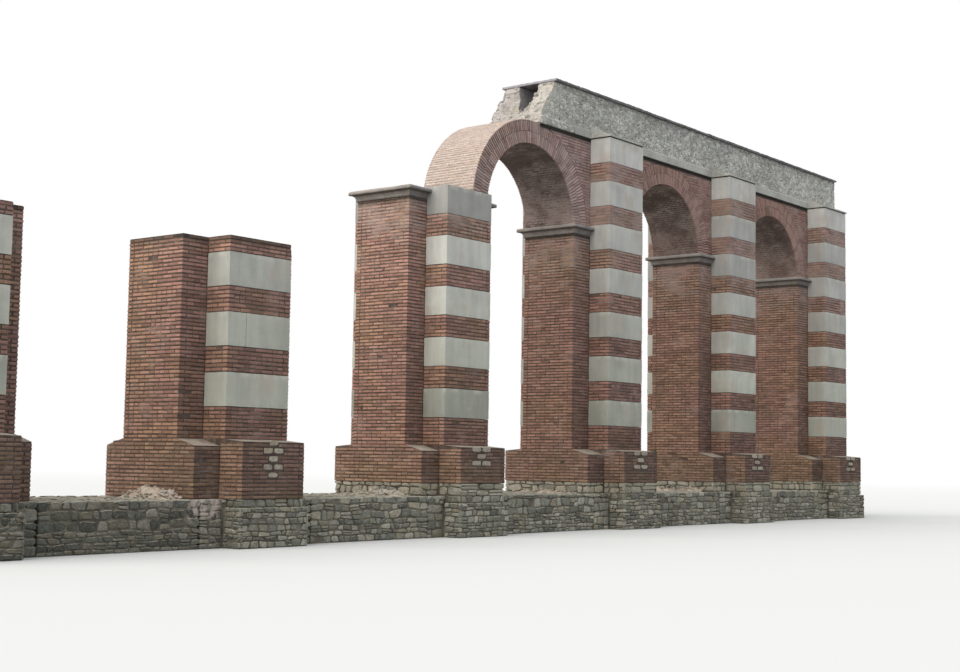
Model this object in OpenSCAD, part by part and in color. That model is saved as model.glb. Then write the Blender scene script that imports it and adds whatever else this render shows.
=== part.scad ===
// Aqueduct arcade on six banded piers, partly fallen, with three arches and a covered water channel.
// Millimetres. X runs along the arcade, Y through its thickness, Z up. The origin lies under the middle.

/* [Bays] */
// Distance from pier to pier, centre to centre
bay = 7180; // [6600:10:7400]
// How much shorter the first bay is, between the fallen piers A and B
first_bay_less = 90; // [0:10:300]
// How much wider the bay of the first arch is, from pier C to pier D
wide_bay_more = 210; // [0:10:260]

/* [Piers] */
// Width of a pier, measured along the arcade
pier_w = 3200; // [3000:10:3500]
// Thickness of a pier's core, and of the arches and spandrels on it
core_t = 1750; // [1500:10:2000]
// Width of a buttress
buttress_w = 1800; // [1500:10:2200]
// How far a buttress stands out from the core
buttress_p = 690; // [500:10:900]
// How far the core of pier C stands to the right of its buttresses
core_right = 30; // [0:10:150]
// How far the cores of the piers D to F stand to the left of their buttresses
core_left = 130; // [0:10:200]
// Height of one brick course with its joint
course_h = 85; // [75:1:95]
// Courses of brick between the plinth and the first stone block
first_courses = 8; // [6:1:10]
// Height of one stone block of a buttress
stone_h = 730; // [600:5:800]
// Stone blocks in a buttress that stands to its full height, shared out evenly up to the channel
tall_stones = 7; // [6:1:8]
// Mortar bed between the top stone block and the channel
top_bed = 25; // [5:5:60]
// Stone blocks left on the fallen piers A and B
fallen_stones = 3; // [2:1:4]
// Brick courses left above the last block of the fallen piers
fallen_courses = 4; // [3:1:5]

/* [Plinths] */
// Height of the brick plinth under the taller piers
plinth_h = 935; // [765:85:1105]
// How far a plinth stands out in front of the shaft, and behind it
plinth_p = 550; // [400:10:700]
// Fall of the mortar weathering in front of the core
core_fall = 150; // [80:5:200]
// Fall of the mortar weathering in front of a buttress
buttress_fall = 50; // [30:5:100]

/* [Foundation] */
// Height of the low rubble wall above the lowest ground
wall_top = 1010; // [800:10:1200]
// Thickness of the low rubble wall, from front to back
wall_t = 3360; // [3000:10:3600]
// Rubble footing that shows between the low wall and a taller pier's plinth
footing_rise = 305; // [200:5:400]
// Height of the spread base of a footing
base_h = 840; // [600:10:900]
// How far the spread base stands out
base_p = 90; // [50:5:150]

/* [Arches] */
// Height of the springing above the plinth
spring_h = 6470; // [6000:10:7000]
// Depth of one ring of arch bricks
ring_t = 330; // [220:5:340]
// Rings of arch bricks, one on the other
rings = 2; // [1:1:2]
// How far the middle of an arch's circle lies below its springing
arch_drop = 60; // [0:5:90]
// Where the brickwork over the broken arch starts, past its middle
spandrel_start = 330; // [250:10:700]
// Height of an impost cornice
impost_h = 300; // [240:5:380]
// How far an impost cornice stands out
impost_p = 180; // [120:5:220]
// How far the lip of an impost's cavetto stands out
cavetto_p = 125; // [90:5:150]
// How far an impost's lowest fillet stands out, and its height
listel = 30; // [20:5:50]
// Height of the square face at the top of an impost
fascia_h = 100; // [80:5:140]
// Rise of the weathering on top of an impost
impost_fall = 40; // [20:5:90]

/* [Channel] */
// Masonry under the channel's floor
bed_h = 560; // [450:10:650]
// Height of the channel inside
channel_h = 770; // [600:10:900]
// Width of the channel inside
channel_w = 690; // [500:10:800]
// Radius of the mortar fillets along the channel's floor
fillet_r = 120; // [60:5:150]
// Height of the smooth render band along the foot of the channel
band_rise = 200; // [120:10:260]
// How far the render band stands out
band_p = 40; // [20:5:60]
// Height of the mortar haunch where it meets the channel above a buttress
haunch_h = 330; // [200:10:400]
// Thickness of the cover slabs
slab_t = 80; // [60:5:120]
// How far the cover slabs stand out on each side
slab_p = 100; // [60:5:140]
// Length of a cover slab, before the row is shared out evenly
slab_l = 1250; // [900:50:1600]
// Joint between two cover slabs
slab_gap = 8; // [4:1:15]
// How far the first cover slab starts past the middle of the first arch
slab_start = 950; // [600:10:1050]

/* [Hidden] */
$fn = 192;
over = 50;

bay_ab = bay - first_bay_less;
bay_cd = bay + wide_bay_more;
length = bay_ab + bay_cd + 3 * bay;
// The last core and its impost end the arcade on the right, so the piers stand a little to the left
x_a = -(length + impost_p - core_left) / 2;
x_b = x_a + bay_ab;
x_c = x_b + bay;
x_d = x_c + bay_cd;
x_e = x_d + bay;
x_f = x_e + bay;
core_c = x_c + core_right;
core_d = x_d - core_left;
core_e = x_e - core_left;
core_f = x_f - core_left;
mid_cd = (core_c + core_d) / 2;
mid_de = (core_d + core_e) / 2;
mid_ef = (core_e + core_f) / 2;
x_end = core_f + pier_w / 2;

half_w = pier_w / 2;
core_y = core_t / 2;
buttress_y = core_y + buttress_p;
plinth_top = wall_top + footing_rise + plinth_h;
spring_z = plinth_top + spring_h;
arch_t = rings * ring_t;
crown_cut = 5;
arch_z = spring_z - arch_drop;
radius = (bay - pier_w) / 2;
radius_cd = (core_d - core_c - pier_w) / 2;
channel_z = arch_z + radius_cd + arch_t - crown_cut;
floor_z = channel_z + bed_h;
cover_z = floor_z + channel_h;
first_band = first_courses * course_h;
stone_step = (channel_z - top_bed - plinth_top - first_band - stone_h) / (tall_stones - 1);
low_stones = round((spring_h - first_band - stone_h) / stone_step) + 1;
fallen_top = stone_z(fallen_stones - 1) + stone_h + fallen_courses * course_h;

brick = [0.58, 0.34, 0.27];
stone = [0.66, 0.66, 0.60];
rubble = [0.60, 0.58, 0.52];
mortar = [0.68, 0.67, 0.62];

// Foot of a buttress's stone block, counted up from zero
function stone_z(i) = plinth_top + first_band + i * stone_step;

// A block with its middle on x and y, from z0 up to z1
module block(x, w, y0, y1, z0, z1) {
    translate([x - w / 2, y0, z0]) cube([w, y1 - y0, z1 - z0]);
}

// An outline drawn in Y and Z, pulled along X
module along_x(x, w) {
    translate([x - w / 2, 0, 0]) rotate([90, 0, 90]) linear_extrude(w) children();
}

// An outline drawn in X and Z, pulled along Y
module along_y(y0, y1) {
    translate([0, y1, 0]) rotate([90, 0, 0]) linear_extrude(y1 - y0) children();
}

// Rubble footing: the low wall's thickness under the core, a spur under each buttress, a spread base.
// Piers are placed by the middle of their core and the middle x of their buttresses.
module footing(core, x, rise) {
    spur_y = buttress_y + plinth_p;
    color(rubble) union() {
        block(core, pier_w, -wall_t / 2, wall_t / 2, 0, wall_top);
        block(x, buttress_w, -spur_y, spur_y, 0, wall_top + rise);
        block(x, buttress_w + 2 * base_p, -spur_y - base_p, spur_y + base_p, 0, base_h);
        if (rise > 0)
            block(core, pier_w, -core_y - plinth_p, core_y + plinth_p, wall_top - over, wall_top + rise);
    }
}

// Low rubble wall that fills one bay between two footings
module low_wall(x0, x1) {
    color(rubble) block((x0 + x1) / 2, x1 - x0 - pier_w, -wall_t / 2, wall_t / 2, 0, wall_top);
}

// One stretch of plinth with its top weathered off to the front and the back
module plinth_stretch(x, w, y, z0, fall) {
    out = y + plinth_p;
    along_x(x, w) polygon([
        [-out, z0], [out, z0], [out, plinth_top - fall], [y, plinth_top],
        [-y, plinth_top], [-out, plinth_top - fall]
    ]);
}

module plinth(core, x, z0) {
    color(brick) union() {
        plinth_stretch(core, pier_w, core_y, z0, core_fall);
        plinth_stretch(x, buttress_w, buttress_y, z0, buttress_fall);
    }
}

// Brickwork of a pier up to a level: the core, and the buttresses' bands without their blocks
module pier_brick(core, x, top, blocks) {
    difference() {
        union() {
            block(core, pier_w, -core_y, core_y, plinth_top, top);
            block(x, buttress_w, -buttress_y, buttress_y, plinth_top, top);
        }
        stone_recesses(x, blocks);
    }
}

module stone_recesses(x, blocks) {
    for (i = [0:blocks - 1])
        for (side = [-1, 1])
            translate([x, side * (core_y + (buttress_p + over) / 2), stone_z(i) + stone_h / 2])
                cube([buttress_w + 2 * over, buttress_p + over, stone_h], center = true);
}

// Stone blocks in front of the core and behind it
module stones(x, blocks) {
    color(stone)
        for (i = [0:blocks - 1])
            for (side = [-1, 1])
                translate([x, side * (core_y + buttress_p / 2), stone_z(i) + stone_h / 2])
                    cube([buttress_w, buttress_p, stone_h], center = true);
}

// A standing pier's shaft, up to the springing
module shaft(core, x, blocks) {
    color(brick) pier_brick(core, x, spring_z, blocks);
}

// A fallen pier's shaft: its top courses have lost bricks here and there
module fallen_shaft(x, lost) {
    color(brick) difference() {
        pier_brick(x, x, fallen_top, fallen_stones);
        for (l = lost)
            translate([x + l[0] * half_w, l[1] * buttress_y, fallen_top - l[4] * course_h])
                cube([l[2] * half_w, l[3] * buttress_y, 3 * course_h]);
    }
}

// Side outline of an impost for a half width of masonry: listel, cavetto, square face and weathering
function impost_side(half) =
    let (foot = spring_z - impost_h, lip = spring_z - impost_fall - fascia_h, steps = 6)
    concat(
        [[half - over, foot], [half + listel, foot]],
        [for (i = [0:steps]) let (turn = 90 * i / steps)
            [half + listel + (cavetto_p - listel) * (1 - cos(turn)),
             foot + listel + (lip - foot - listel) * sin(turn)]],
        [[half + impost_p, lip], [half + impost_p, spring_z - impost_fall],
         [half, spring_z], [half - over, spring_z]]
    );

function mirrored(points) = [for (i = [len(points) - 1:-1:0]) [-points[i][0], points[i][1]]];

// Impost cornice: it wraps round the core and dies against the buttresses
module impost(core, x) {
    color(mortar) difference() {
        translate([core, 0, 0]) intersection() {
            along_y(-core_t, core_t) polygon(concat(impost_side(half_w), mirrored(impost_side(half_w))));
            along_x(0, 2 * pier_w) polygon(concat(impost_side(core_y), mirrored(impost_side(core_y))));
        }
        block(core, pier_w, -core_y, core_y, 0, spring_z + over);
        block(x, buttress_w, -buttress_y, buttress_y, 0, spring_z + over);
    }
}

// Arch of ring-laid bricks from springing to springing, flat where the channel beds on its crown
module arch(x, radius) {
    color(brick) along_y(-core_y, core_y) intersection() {
        translate([x, arch_z]) difference() {
            circle(r = radius + arch_t);
            circle(r = radius);
        }
        translate([x - radius - arch_t, spring_z]) square([2 * (radius + arch_t), channel_z - spring_z]);
    }
}

// Brickwork over a pier, between the arches on its two sides, with the upper part of the buttresses
module spandrel(x, x0, x1, arches) {
    color(brick) difference() {
        union() {
            along_y(-core_y, core_y) difference() {
                translate([x0, spring_z]) square([x1 - x0, channel_z - spring_z]);
                for (a = arches) translate([a[0], arch_z]) circle(r = a[1] + arch_t);
            }
            block(x, buttress_w, -buttress_y, buttress_y, spring_z, channel_z);
        }
        stone_recesses(x, tall_stones);
    }
}

// Where each strip of the channel has broken off, as distances past the middle of the first arch.
// Each outline starts at the foot and climbs.
front_break = [[185, 0], [310, 75], [330, 240], [360, 350], [425, 480], [450, bed_h]];
floor_break = [[40, 0], [290, 110], [370, 240], [450, 400], [520, bed_h]];
back_break = [[100, 0], [300, 140], [385, 230], [425, 400], [545, bed_h]];
front_wall_break = [[450, 0], [568, 0.22], [700, 0.39], [790, 0.53], [895, 0.74], [955, 1]];
back_wall_break = [[545, 0], [670, 0.21], [700, 0.38], [855, 0.55], [890, 0.84], [960, 1]];

// One strip of the bed, from its broken end to the far end
module bed_strip(y0, y1, broken) {
    along_y(y0, y1) polygon(concat(
        [for (p = broken) [mid_cd + p[0], channel_z + p[1]]],
        [[x_end, floor_z], [x_end, channel_z]]
    ));
}

// Render band along the foot of the channel, and the mortar haunches over the buttresses
module foot_band() {
    out = core_y + band_p;
    start = mid_cd + front_break[2][0];
    along_x((start + x_end) / 2, x_end - start) polygon([
        [-out, channel_z], [out, channel_z], [out, channel_z + band_rise],
        [core_y, channel_z + band_rise + band_p], [-core_y, channel_z + band_rise + band_p],
        [-out, channel_z + band_rise]
    ]);
    for (x = [x_d, x_e, x_f])
        along_x(x, buttress_w + 2 * band_p) polygon([
            [-buttress_y - band_p, channel_z], [buttress_y + band_p, channel_z],
            [buttress_y + band_p, channel_z + band_p], [core_y, channel_z + haunch_h],
            [-core_y, channel_z + haunch_h], [-buttress_y - band_p, channel_z + band_p]
        ]);
}

// Quarter-round mortar fillets in the two corners of the channel's floor
module floor_fillets() {
    start = mid_cd + floor_break[len(floor_break) - 1][0] + over;
    for (side = [-1, 1])
        along_x((start + x_end) / 2, x_end - start) difference() {
            translate([side * (channel_w - fillet_r) / 2, floor_z + (fillet_r - over) / 2])
                square([fillet_r, fillet_r + over], center = true);
            translate([side * (channel_w / 2 - fillet_r), floor_z + fillet_r]) circle(r = fillet_r);
        }
}

module channel_bed() {
    color(rubble) union() {
        bed_strip(-core_y, -channel_w / 2, front_break);
        bed_strip(-channel_w / 2, channel_w / 2, floor_break);
        bed_strip(channel_w / 2, core_y, back_break);
        foot_band();
        floor_fillets();
    }
}

module channel_wall(y0, y1, broken) {
    color(rubble) along_y(y0, y1) polygon(concat(
        [for (p = broken) [mid_cd + p[0], floor_z + p[1] * channel_h]],
        [[x_end, cover_z], [x_end, floor_z]]
    ));
}

module channel_front_wall() { channel_wall(-core_y, -channel_w / 2, front_wall_break); }
module channel_back_wall() { channel_wall(channel_w / 2, core_y, back_wall_break); }

// Row of cover slabs, shared out evenly from the broken end to the far end
module cover_slabs() {
    start = mid_cd + slab_start;
    slabs = round((x_end - start) / slab_l);
    pitch = (x_end - start + slab_gap) / slabs;
    color(mortar)
        for (i = [0:slabs - 1])
            translate([start + i * pitch, -core_y - slab_p, cover_z])
                cube([pitch - slab_gap, core_t + 2 * slab_p, slab_t]);
}

// Bricks lost from the tops of piers A and B: start in X and Y and size in X and Y, as shares of the
// half width and the half depth, then the courses lost
lost_a = [
    [-1.1, -0.6, 0.5, 0.5, 1], [0.35, -1.1, 0.4, 0.5, 1],
    [0.2, 0.1, 0.9, 0.6, 1], [-0.5, 0.62, 0.5, 0.5, 2]
];
lost_b = [
    [-0.6, -0.35, 0.35, 0.3, 1], [0.1, -0.5, 0.4, 0.35, 1],
    [0.6, -0.1, 0.5, 0.8, 1], [-0.6, 0.65, 0.6, 0.4, 2]
];

module footing_a() { footing(x_a, x_a, 0); }
module footing_b() { footing(x_b, x_b, 0); }
module footing_c() { footing(core_c, x_c, footing_rise); }
module footing_d() { footing(core_d, x_d, footing_rise); }
module footing_e() { footing(core_e, x_e, footing_rise); }
module footing_f() { footing(core_f, x_f, footing_rise); }
module low_wall_ab() { low_wall(x_a, x_b); }
module low_wall_bc() { low_wall(x_b, core_c); }
module low_wall_cd() { low_wall(core_c, core_d); }
module low_wall_de() { low_wall(core_d, core_e); }
module low_wall_ef() { low_wall(core_e, core_f); }
module plinth_a() { plinth(x_a, x_a, wall_top); }
module plinth_b() { plinth(x_b, x_b, wall_top); }
module plinth_c() { plinth(core_c, x_c, wall_top + footing_rise); }
module plinth_d() { plinth(core_d, x_d, wall_top + footing_rise); }
module plinth_e() { plinth(core_e, x_e, wall_top + footing_rise); }
module plinth_f() { plinth(core_f, x_f, wall_top + footing_rise); }
module shaft_a() { fallen_shaft(x_a, lost_a); }
module shaft_b() { fallen_shaft(x_b, lost_b); }
module shaft_c() { shaft(core_c, x_c, low_stones); }
module shaft_d() { shaft(core_d, x_d, tall_stones); }
module shaft_e() { shaft(core_e, x_e, tall_stones); }
module shaft_f() { shaft(core_f, x_f, tall_stones); }
module stones_a() { stones(x_a, fallen_stones); }
module stones_b() { stones(x_b, fallen_stones); }
module stones_c() { stones(x_c, low_stones); }
module stones_d() { stones(x_d, tall_stones); }
module stones_e() { stones(x_e, tall_stones); }
module stones_f() { stones(x_f, tall_stones); }
module impost_c() { impost(core_c, x_c); }
module impost_d() { impost(core_d, x_d); }
module impost_e() { impost(core_e, x_e); }
module impost_f() { impost(core_f, x_f); }
module arch_cd() { arch(mid_cd, radius_cd); }
module arch_de() { arch(mid_de, radius); }
module arch_ef() { arch(mid_ef, radius); }
module spandrel_d() {
    spandrel(x_d, mid_cd + spandrel_start, mid_de, [[mid_cd, radius_cd], [mid_de, radius]]);
}
module spandrel_e() { spandrel(x_e, mid_de, mid_ef, [[mid_de, radius], [mid_ef, radius]]); }
module spandrel_f() { spandrel(x_f, mid_ef, x_end, [[mid_ef, radius]]); }

footing_a();
footing_b();
footing_c();
footing_d();
footing_e();
footing_f();
low_wall_ab();
low_wall_bc();
low_wall_cd();
low_wall_de();
low_wall_ef();
plinth_a();
plinth_b();
plinth_c();
plinth_d();
plinth_e();
plinth_f();
shaft_a();
shaft_b();
shaft_c();
shaft_d();
shaft_e();
shaft_f();
stones_a();
stones_b();
stones_c();
stones_d();
stones_e();
stones_f();
impost_c();
impost_d();
impost_e();
impost_f();
arch_cd();
arch_de();
arch_ef();
spandrel_d();
spandrel_e();
spandrel_f();
channel_bed();
channel_front_wall();
channel_back_wall();
cover_slabs();
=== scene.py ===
"""Looks of a partly fallen aqueduct arcade: its bricks, stones, mortar and weathering.

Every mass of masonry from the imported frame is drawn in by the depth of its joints, which gives the
ground of mortar, and gets its bricks or stones laid on it, flush with the solid's own faces. Metres.
"""

import math

import bmesh
import bpy
import numpy as np
from mathutils import Matrix, Vector
from mathutils.bvhtree import BVHTree


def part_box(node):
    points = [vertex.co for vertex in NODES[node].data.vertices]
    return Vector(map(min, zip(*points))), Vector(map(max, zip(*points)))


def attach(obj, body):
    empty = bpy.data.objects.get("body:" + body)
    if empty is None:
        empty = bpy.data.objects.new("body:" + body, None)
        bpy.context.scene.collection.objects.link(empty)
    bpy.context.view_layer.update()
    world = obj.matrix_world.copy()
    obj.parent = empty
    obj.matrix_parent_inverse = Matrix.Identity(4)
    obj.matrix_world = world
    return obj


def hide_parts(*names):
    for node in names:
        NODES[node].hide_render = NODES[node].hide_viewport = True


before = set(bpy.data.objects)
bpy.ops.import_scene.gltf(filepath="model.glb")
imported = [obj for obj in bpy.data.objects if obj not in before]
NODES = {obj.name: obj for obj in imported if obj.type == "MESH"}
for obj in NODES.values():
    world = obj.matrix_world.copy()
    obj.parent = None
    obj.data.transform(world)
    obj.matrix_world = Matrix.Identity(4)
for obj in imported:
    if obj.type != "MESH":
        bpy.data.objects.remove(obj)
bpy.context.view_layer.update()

X, Y, Z = np.eye(3)

# Brickwork
COURSE = 0.085  # a course with its bed joint
HALF_BRICK = 0.1625  # half a brick's length, with its joint
BED_JOINT = 0.030
HEAD_JOINT = 0.010
JOINT_DEPTH = 0.014  # how deep the joints are raked
BRICK_ROOT = 0.030  # how far a brick reaches behind the face
CORNER_ROOT = 0.148  # the same at an arris, where its end shows
WORN_EDGE = 0.007
RING_BRICK = 0.084  # a ring brick with its joint, along the middle of its ring
RING_GAP = 0.024  # the joint between two ring bricks
RING_JOINT = 0.008  # the joint between the two rings
RING_DEPTH = 0.026  # how deep the joints of the rings are raked
RING_ROOT = 0.045
RING_EDGE = 0.048  # where the bricks of an arch's underside start behind its face
ARCH_GAP = 0.012  # the joint between an arch's back and the brickwork over it
SLIVER = 0.03  # a brick narrower than this is left out
HALVED_SHARE = 0.2  # how many bricks are laid as two halves
SPALLED_SHARE = 0.04  # how many have lost their face
MISSING_SHARE = 0.22  # how many are gone from the upper course of a fallen shaft
TOP_MISSING_SHARE = 0.12  # how many are gone from a shaft's bare top
TOP_INSET, TOP_GAP = 0.02, 0.008  # how far those lie in from its edges, and half their joint
RAGGED_FROM = 0.38 * math.pi  # the angle on an arch from which a bare ring is worn
BARE_TO = 0.4  # how far past the break the arch's back is bricked

# How deep the rubble's joints are raked: on upright faces, on ledges and on the low walls' tops
RUBBLE_DEPTH, LEDGE_DEPTH, PAVING_DEPTH = 0.045, 0.012, 0.028

# The photograph's camera
IMAGE_W = 960
FOCAL_PX = 1485
CAMERA_AT = Vector((-32.994, -24.824, 1.866))
YAW, PITCH, ROLL = 38.0510, 4.8185, 0.8380


# Sizes from the frame


def span(node, axis):
    """A node's lowest and highest coordinate along an axis."""
    low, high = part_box(node)
    return low[axis], high[axis]


def levels(node, axis=2):
    """The places along an axis at which a node's corners lie, from the lowest up."""
    return sorted({round(v.co[axis], 4) for v in NODES[node].data.vertices})


class Pier:
    """Where one pier stands and how high its parts reach."""

    def __init__(self, key):
        self.key = key
        low, high = span("shaft_" + key, 0)
        self.x, self.half = (low + high) / 2, (high - low) / 2
        self.left = self.x - self.half
        self.bx = sum(span("stones_" + key, 0)) / 2
        self.bottom, self.top = span("shaft_" + key, 2)
        self.plinth_bottom = span("plinth_" + key, 2)[0]
        self.blocks = list(zip(*[iter(levels("stones_" + key))] * 2))

    def bands(self, low, high):
        """The heights between its stone blocks, from low to high."""
        cuts = [low] + [z for block in self.blocks for z in block] + [high]
        cuts = [min(max(z, low), high) for z in cuts]
        return [(a, b) for a, b in zip(cuts[::2], cuts[1::2]) if b - a > 0.5 * COURSE]


PIERS = {key: Pier(key) for key in "abcdef"}
CORE_Y = span("arch_cd", 1)[1]
BUTTRESS_Y = span("stones_c", 1)[1]
BUTTRESS_HALF = (span("stones_c", 0)[1] - span("stones_c", 0)[0]) / 2
PLINTH_Y = span("plinth_c", 1)[1]
PLINTH_P = PLINTH_Y - BUTTRESS_Y
JAMB_Y = CORE_Y + PLINTH_P
WALL_Y = span("low_wall_ab", 1)[1]
WALL_TOP = span("low_wall_ab", 2)[1]
PLINTH_TOP = PIERS["c"].bottom
SPRING_Z = PIERS["c"].top
BED_Z = span("channel_bed", 2)[0]
FLOOR_Z = span("channel_front_wall", 2)[0]
COVER_Z = span("cover_slabs", 2)[0]
END_X = span("channel_bed", 0)[1]
CHANNEL_HALF = span("channel_back_wall", 1)[0]
IMPOST_Z = span("impost_c", 2)[0]
LIP_Z = SPRING_Z - 0.14  # the underside of the imposts' slab
FALLEN_Z = PIERS["b"].top
CORE_FALL, BUTTRESS_FALL = 0.15, 0.05  # fall of the weathering on the plinths
BASE_TOP, BASE_P = 0.84, 0.09  # spread base of the footings
BAND_RISE, BAND_P = 0.20, 0.04  # render band along the foot of the channel
ARCH_T = 0.66
RING_T = ARCH_T / 2
ARC_Z = SPRING_Z - 0.06  # the middle of the arches' circles


class Arch:
    """Where the circle of an arch lies between the piers that carry it."""

    def __init__(self, left, right):
        a, b = PIERS[left], PIERS[right]
        self.x = (a.x + a.half + b.x - b.half) / 2
        self.radius = (b.x - b.half - a.x - a.half) / 2

    def reach(self, z):
        """Half the width of the arch's back at a height."""
        return math.sqrt(max((self.radius + ARCH_T) ** 2 - (z - ARC_Z) ** 2, 0.0))


ARCHES = {key: Arch(*key) for key in ("cd", "de", "ef")}
BROKEN_X = ARCHES["cd"].x


# Mesh building


class Face:
    """A wall face, with u along it and v up it, and the direction that it looks in."""

    def __init__(self, origin, along, normal, up=Z):
        self.origin = np.array(origin, float)
        self.along, self.normal, self.up = along, np.array(normal, float), up

    def at(self, points):
        """Points (u, v) of the face as points in space."""
        points = np.asarray(points, float)
        return self.origin + points[..., :1] * self.along + points[..., 1:] * self.up


def front(sy, y):
    """The upright face at a distance y from the arcade's middle that looks to the front or to the back."""
    return Face((0, sy * y, 0), X, sy * Y)


def side(sx, x):
    """The upright face at x that looks along the row, to the left or to the right."""
    return Face((x, 0, 0), Y, sx * X)


class Units:
    """Bricks or stones waiting to be made: the outline of each on its face, and how deep it reaches."""

    def __init__(self, rng=None):
        self.rng, self.laid = rng, []

    def add(self, outline, normal, root=BRICK_ROOT, mark=0.0):
        self.laid.append((outline, normal, root, mark))

    def arrays(self):
        outlines, normals, roots, marks = (np.array(column, float) for column in zip(*self.laid))
        turn = np.cross(outlines[:, 1] - outlines[:, 0], outlines[:, 2] - outlines[:, 1])
        wrong = (turn * normals).sum(1) < 0
        outlines[wrong] = outlines[wrong, ::-1]
        return outlines, normals, roots, marks


def unit(v):
    return v / np.maximum(np.linalg.norm(v, axis=-1, keepdims=True), 1e-9)


def smooth(x, low, high):
    """0 below low, 1 above high and a smooth step between them."""
    x = np.clip((x - low) / (high - low), 0.0, 1.0)
    return x * x * (3 - 2 * x)


LATTICE = np.random.default_rng(11).random((32, 32, 32))


def roughness(points, scale, octaves=4):
    """Cloudy noise at points in space, from about -1 to 1."""
    total = np.zeros(len(points))
    for octave in range(octaves):
        p = np.asarray(points) * scale * 2**octave + 5.3 * octave
        cell = np.floor(p).astype(int)
        f = p - cell
        f = f * f * (3 - 2 * f)
        for corner in np.ndindex(2, 2, 2):
            weight = np.prod(np.where(np.array(corner) == 1, f, 1 - f), axis=1)
            i, j, k = ((cell + corner) % 32).T
            total += weight * (2 * LATTICE[i, j, k] - 1) * 0.55**octave
    return total


class Cells:
    """Irregular stones scattered over a plane, each wide by tall in metres."""

    def __init__(self, wide, tall, rng):
        self.size = np.array([wide, tall])
        self.place = rng.uniform(0.12, 0.88, (64, 64, 2))
        self.tone = rng.random((64, 64))

    def at(self, u, v):
        """For each point the tone of its stone, and its distance from the joint as a share of a stone."""
        p = np.stack([u, v], 1) / self.size
        cell = np.floor(p).astype(int)
        first, second = np.full(len(p), 9.0), np.full(len(p), 9.0)
        tone = np.zeros(len(p))
        for step in np.ndindex(3, 3):
            c = cell + step - 1
            i, j = (c % 64).T
            d = np.linalg.norm((c + self.place[i, j] - p) * (1.0, 0.85), axis=1)
            nearer = d < first
            second = np.where(nearer, first, np.minimum(second, d))
            tone = np.where(nearer, self.tone[i, j], tone)
            first = np.where(nearer, d, first)
        return tone, second - first


def ring_mesh(rings, marks, rng, fan):
    """A mesh of units from their three rings of points, closed by a polygon or by a fan to a last
    point: the points, the walls and lids, and a tone for each point."""
    n, sides = rings[0].shape[:2]
    step, top = np.arange(sides), 2 * sides
    after = (step + 1) % sides
    walls = [np.stack([r + step, r + after, r + sides + after, r + sides + step], 1) for r in (0, sides)]
    lid = np.stack([top + step, top + after, np.full(sides, top + sides)], 1) if fan else (top + step)[None]
    points = np.concatenate(rings, 1)
    base = (np.arange(n) * points.shape[1])[:, None, None]
    faces = (base + np.concatenate(walls)).reshape(-1, 4), (base + lid).reshape(-1, lid.shape[1])
    tone = np.stack([rng.random(n), rng.random(n), marks, np.ones(n)], 1)
    return points.reshape(-1, 3), faces, np.repeat(tone, points.shape[1], 0)


def make_bricks(units, rng, sink=0.008):
    """Bricks with worn edges, each set a little differently."""
    corners, normals, roots, marks = units.arrays()
    n = len(corners)
    centre = corners.mean(1, keepdims=True)
    corners = corners + unit(centre - corners) * rng.uniform(0, 0.006, (n, 4, 1))
    edge = unit(np.roll(corners, -1, 1) - corners) + unit(np.roll(corners, 1, 1) - corners)
    inner = corners + edge * rng.uniform(0.6, 1.5, (n, 4, 1)) * WORN_EDGE
    face = rng.uniform(0, sink, (n, 1, 1)) + rng.uniform(0, 0.004, (n, 4, 1))
    spalled = rng.random((n, 1, 1)) < SPALLED_SHARE
    face = np.where(spalled, face + rng.uniform(0.002, 0.007, (n, 1, 1)), face)
    out = normals[:, None]
    back = corners - out * roots[:, None, None]
    rim = corners - out * (face + WORN_EDGE * rng.uniform(0.7, 1.3, (n, 4, 1)))
    return ring_mesh([back, rim, inner - out * face], marks, rng, False)


def make_stones(units, rng, dome=0.030, sink=0.022):
    """Rounded stones: each bulges from its joints to a crown, all behind its face."""
    outline, normals, roots, marks = units.arrays()
    n, sides = outline.shape[:2]
    centre = outline.mean(1, keepdims=True)
    bulge = dome * rng.uniform(0.5, 1.0, (n, 1, 1))
    sunk = rng.uniform(0, sink, (n, 1, 1))
    out = normals[:, None]
    shoulder = centre + (outline - centre) * 0.96
    inner = centre + (outline - centre) * rng.uniform(0.72, 0.88, (n, 1, 1))
    crown = centre + (outline[:, :1] - centre) * rng.uniform(0, 0.3, (n, 1, 1))
    back = outline - out * roots[:, None, None]
    shoulder = shoulder - out * (sunk + bulge * rng.uniform(0.75, 1.0, (n, sides, 1)))
    inner = inner - out * (sunk + bulge * rng.uniform(0.0, 0.45, (n, sides, 1)))
    return ring_mesh([back, shoulder, inner, crown - out * sunk], marks, rng, True)


def solid_of(node):
    """A node's solid with its corners joined, to be worked on."""
    bm = bmesh.new()
    bm.from_mesh(NODES[node].data)
    bmesh.ops.remove_doubles(bm, verts=bm.verts, dist=1e-5)
    return bm


def taken(bm):
    """The points and faces of a mesh that is done with."""
    bm.verts.index_update()
    points = np.array([v.co for v in bm.verts])
    faces = np.array([[v.index for v in f.verts] for f in bm.faces])
    bm.free()
    return points, faces


def cut_at(bm, x, keep_left):
    """Cuts a solid at x, keeps what is on one side and closes it."""
    bmesh.ops.bisect_plane(
        bm,
        geom=bm.verts[:] + bm.edges[:] + bm.faces[:],
        plane_co=(x, 0, 0),
        plane_no=(1, 0, 0),
        clear_outer=keep_left,
        clear_inner=not keep_left,
    )
    bmesh.ops.holes_fill(bm, edges=[e for e in bm.edges if e.is_boundary], sides=0)


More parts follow.
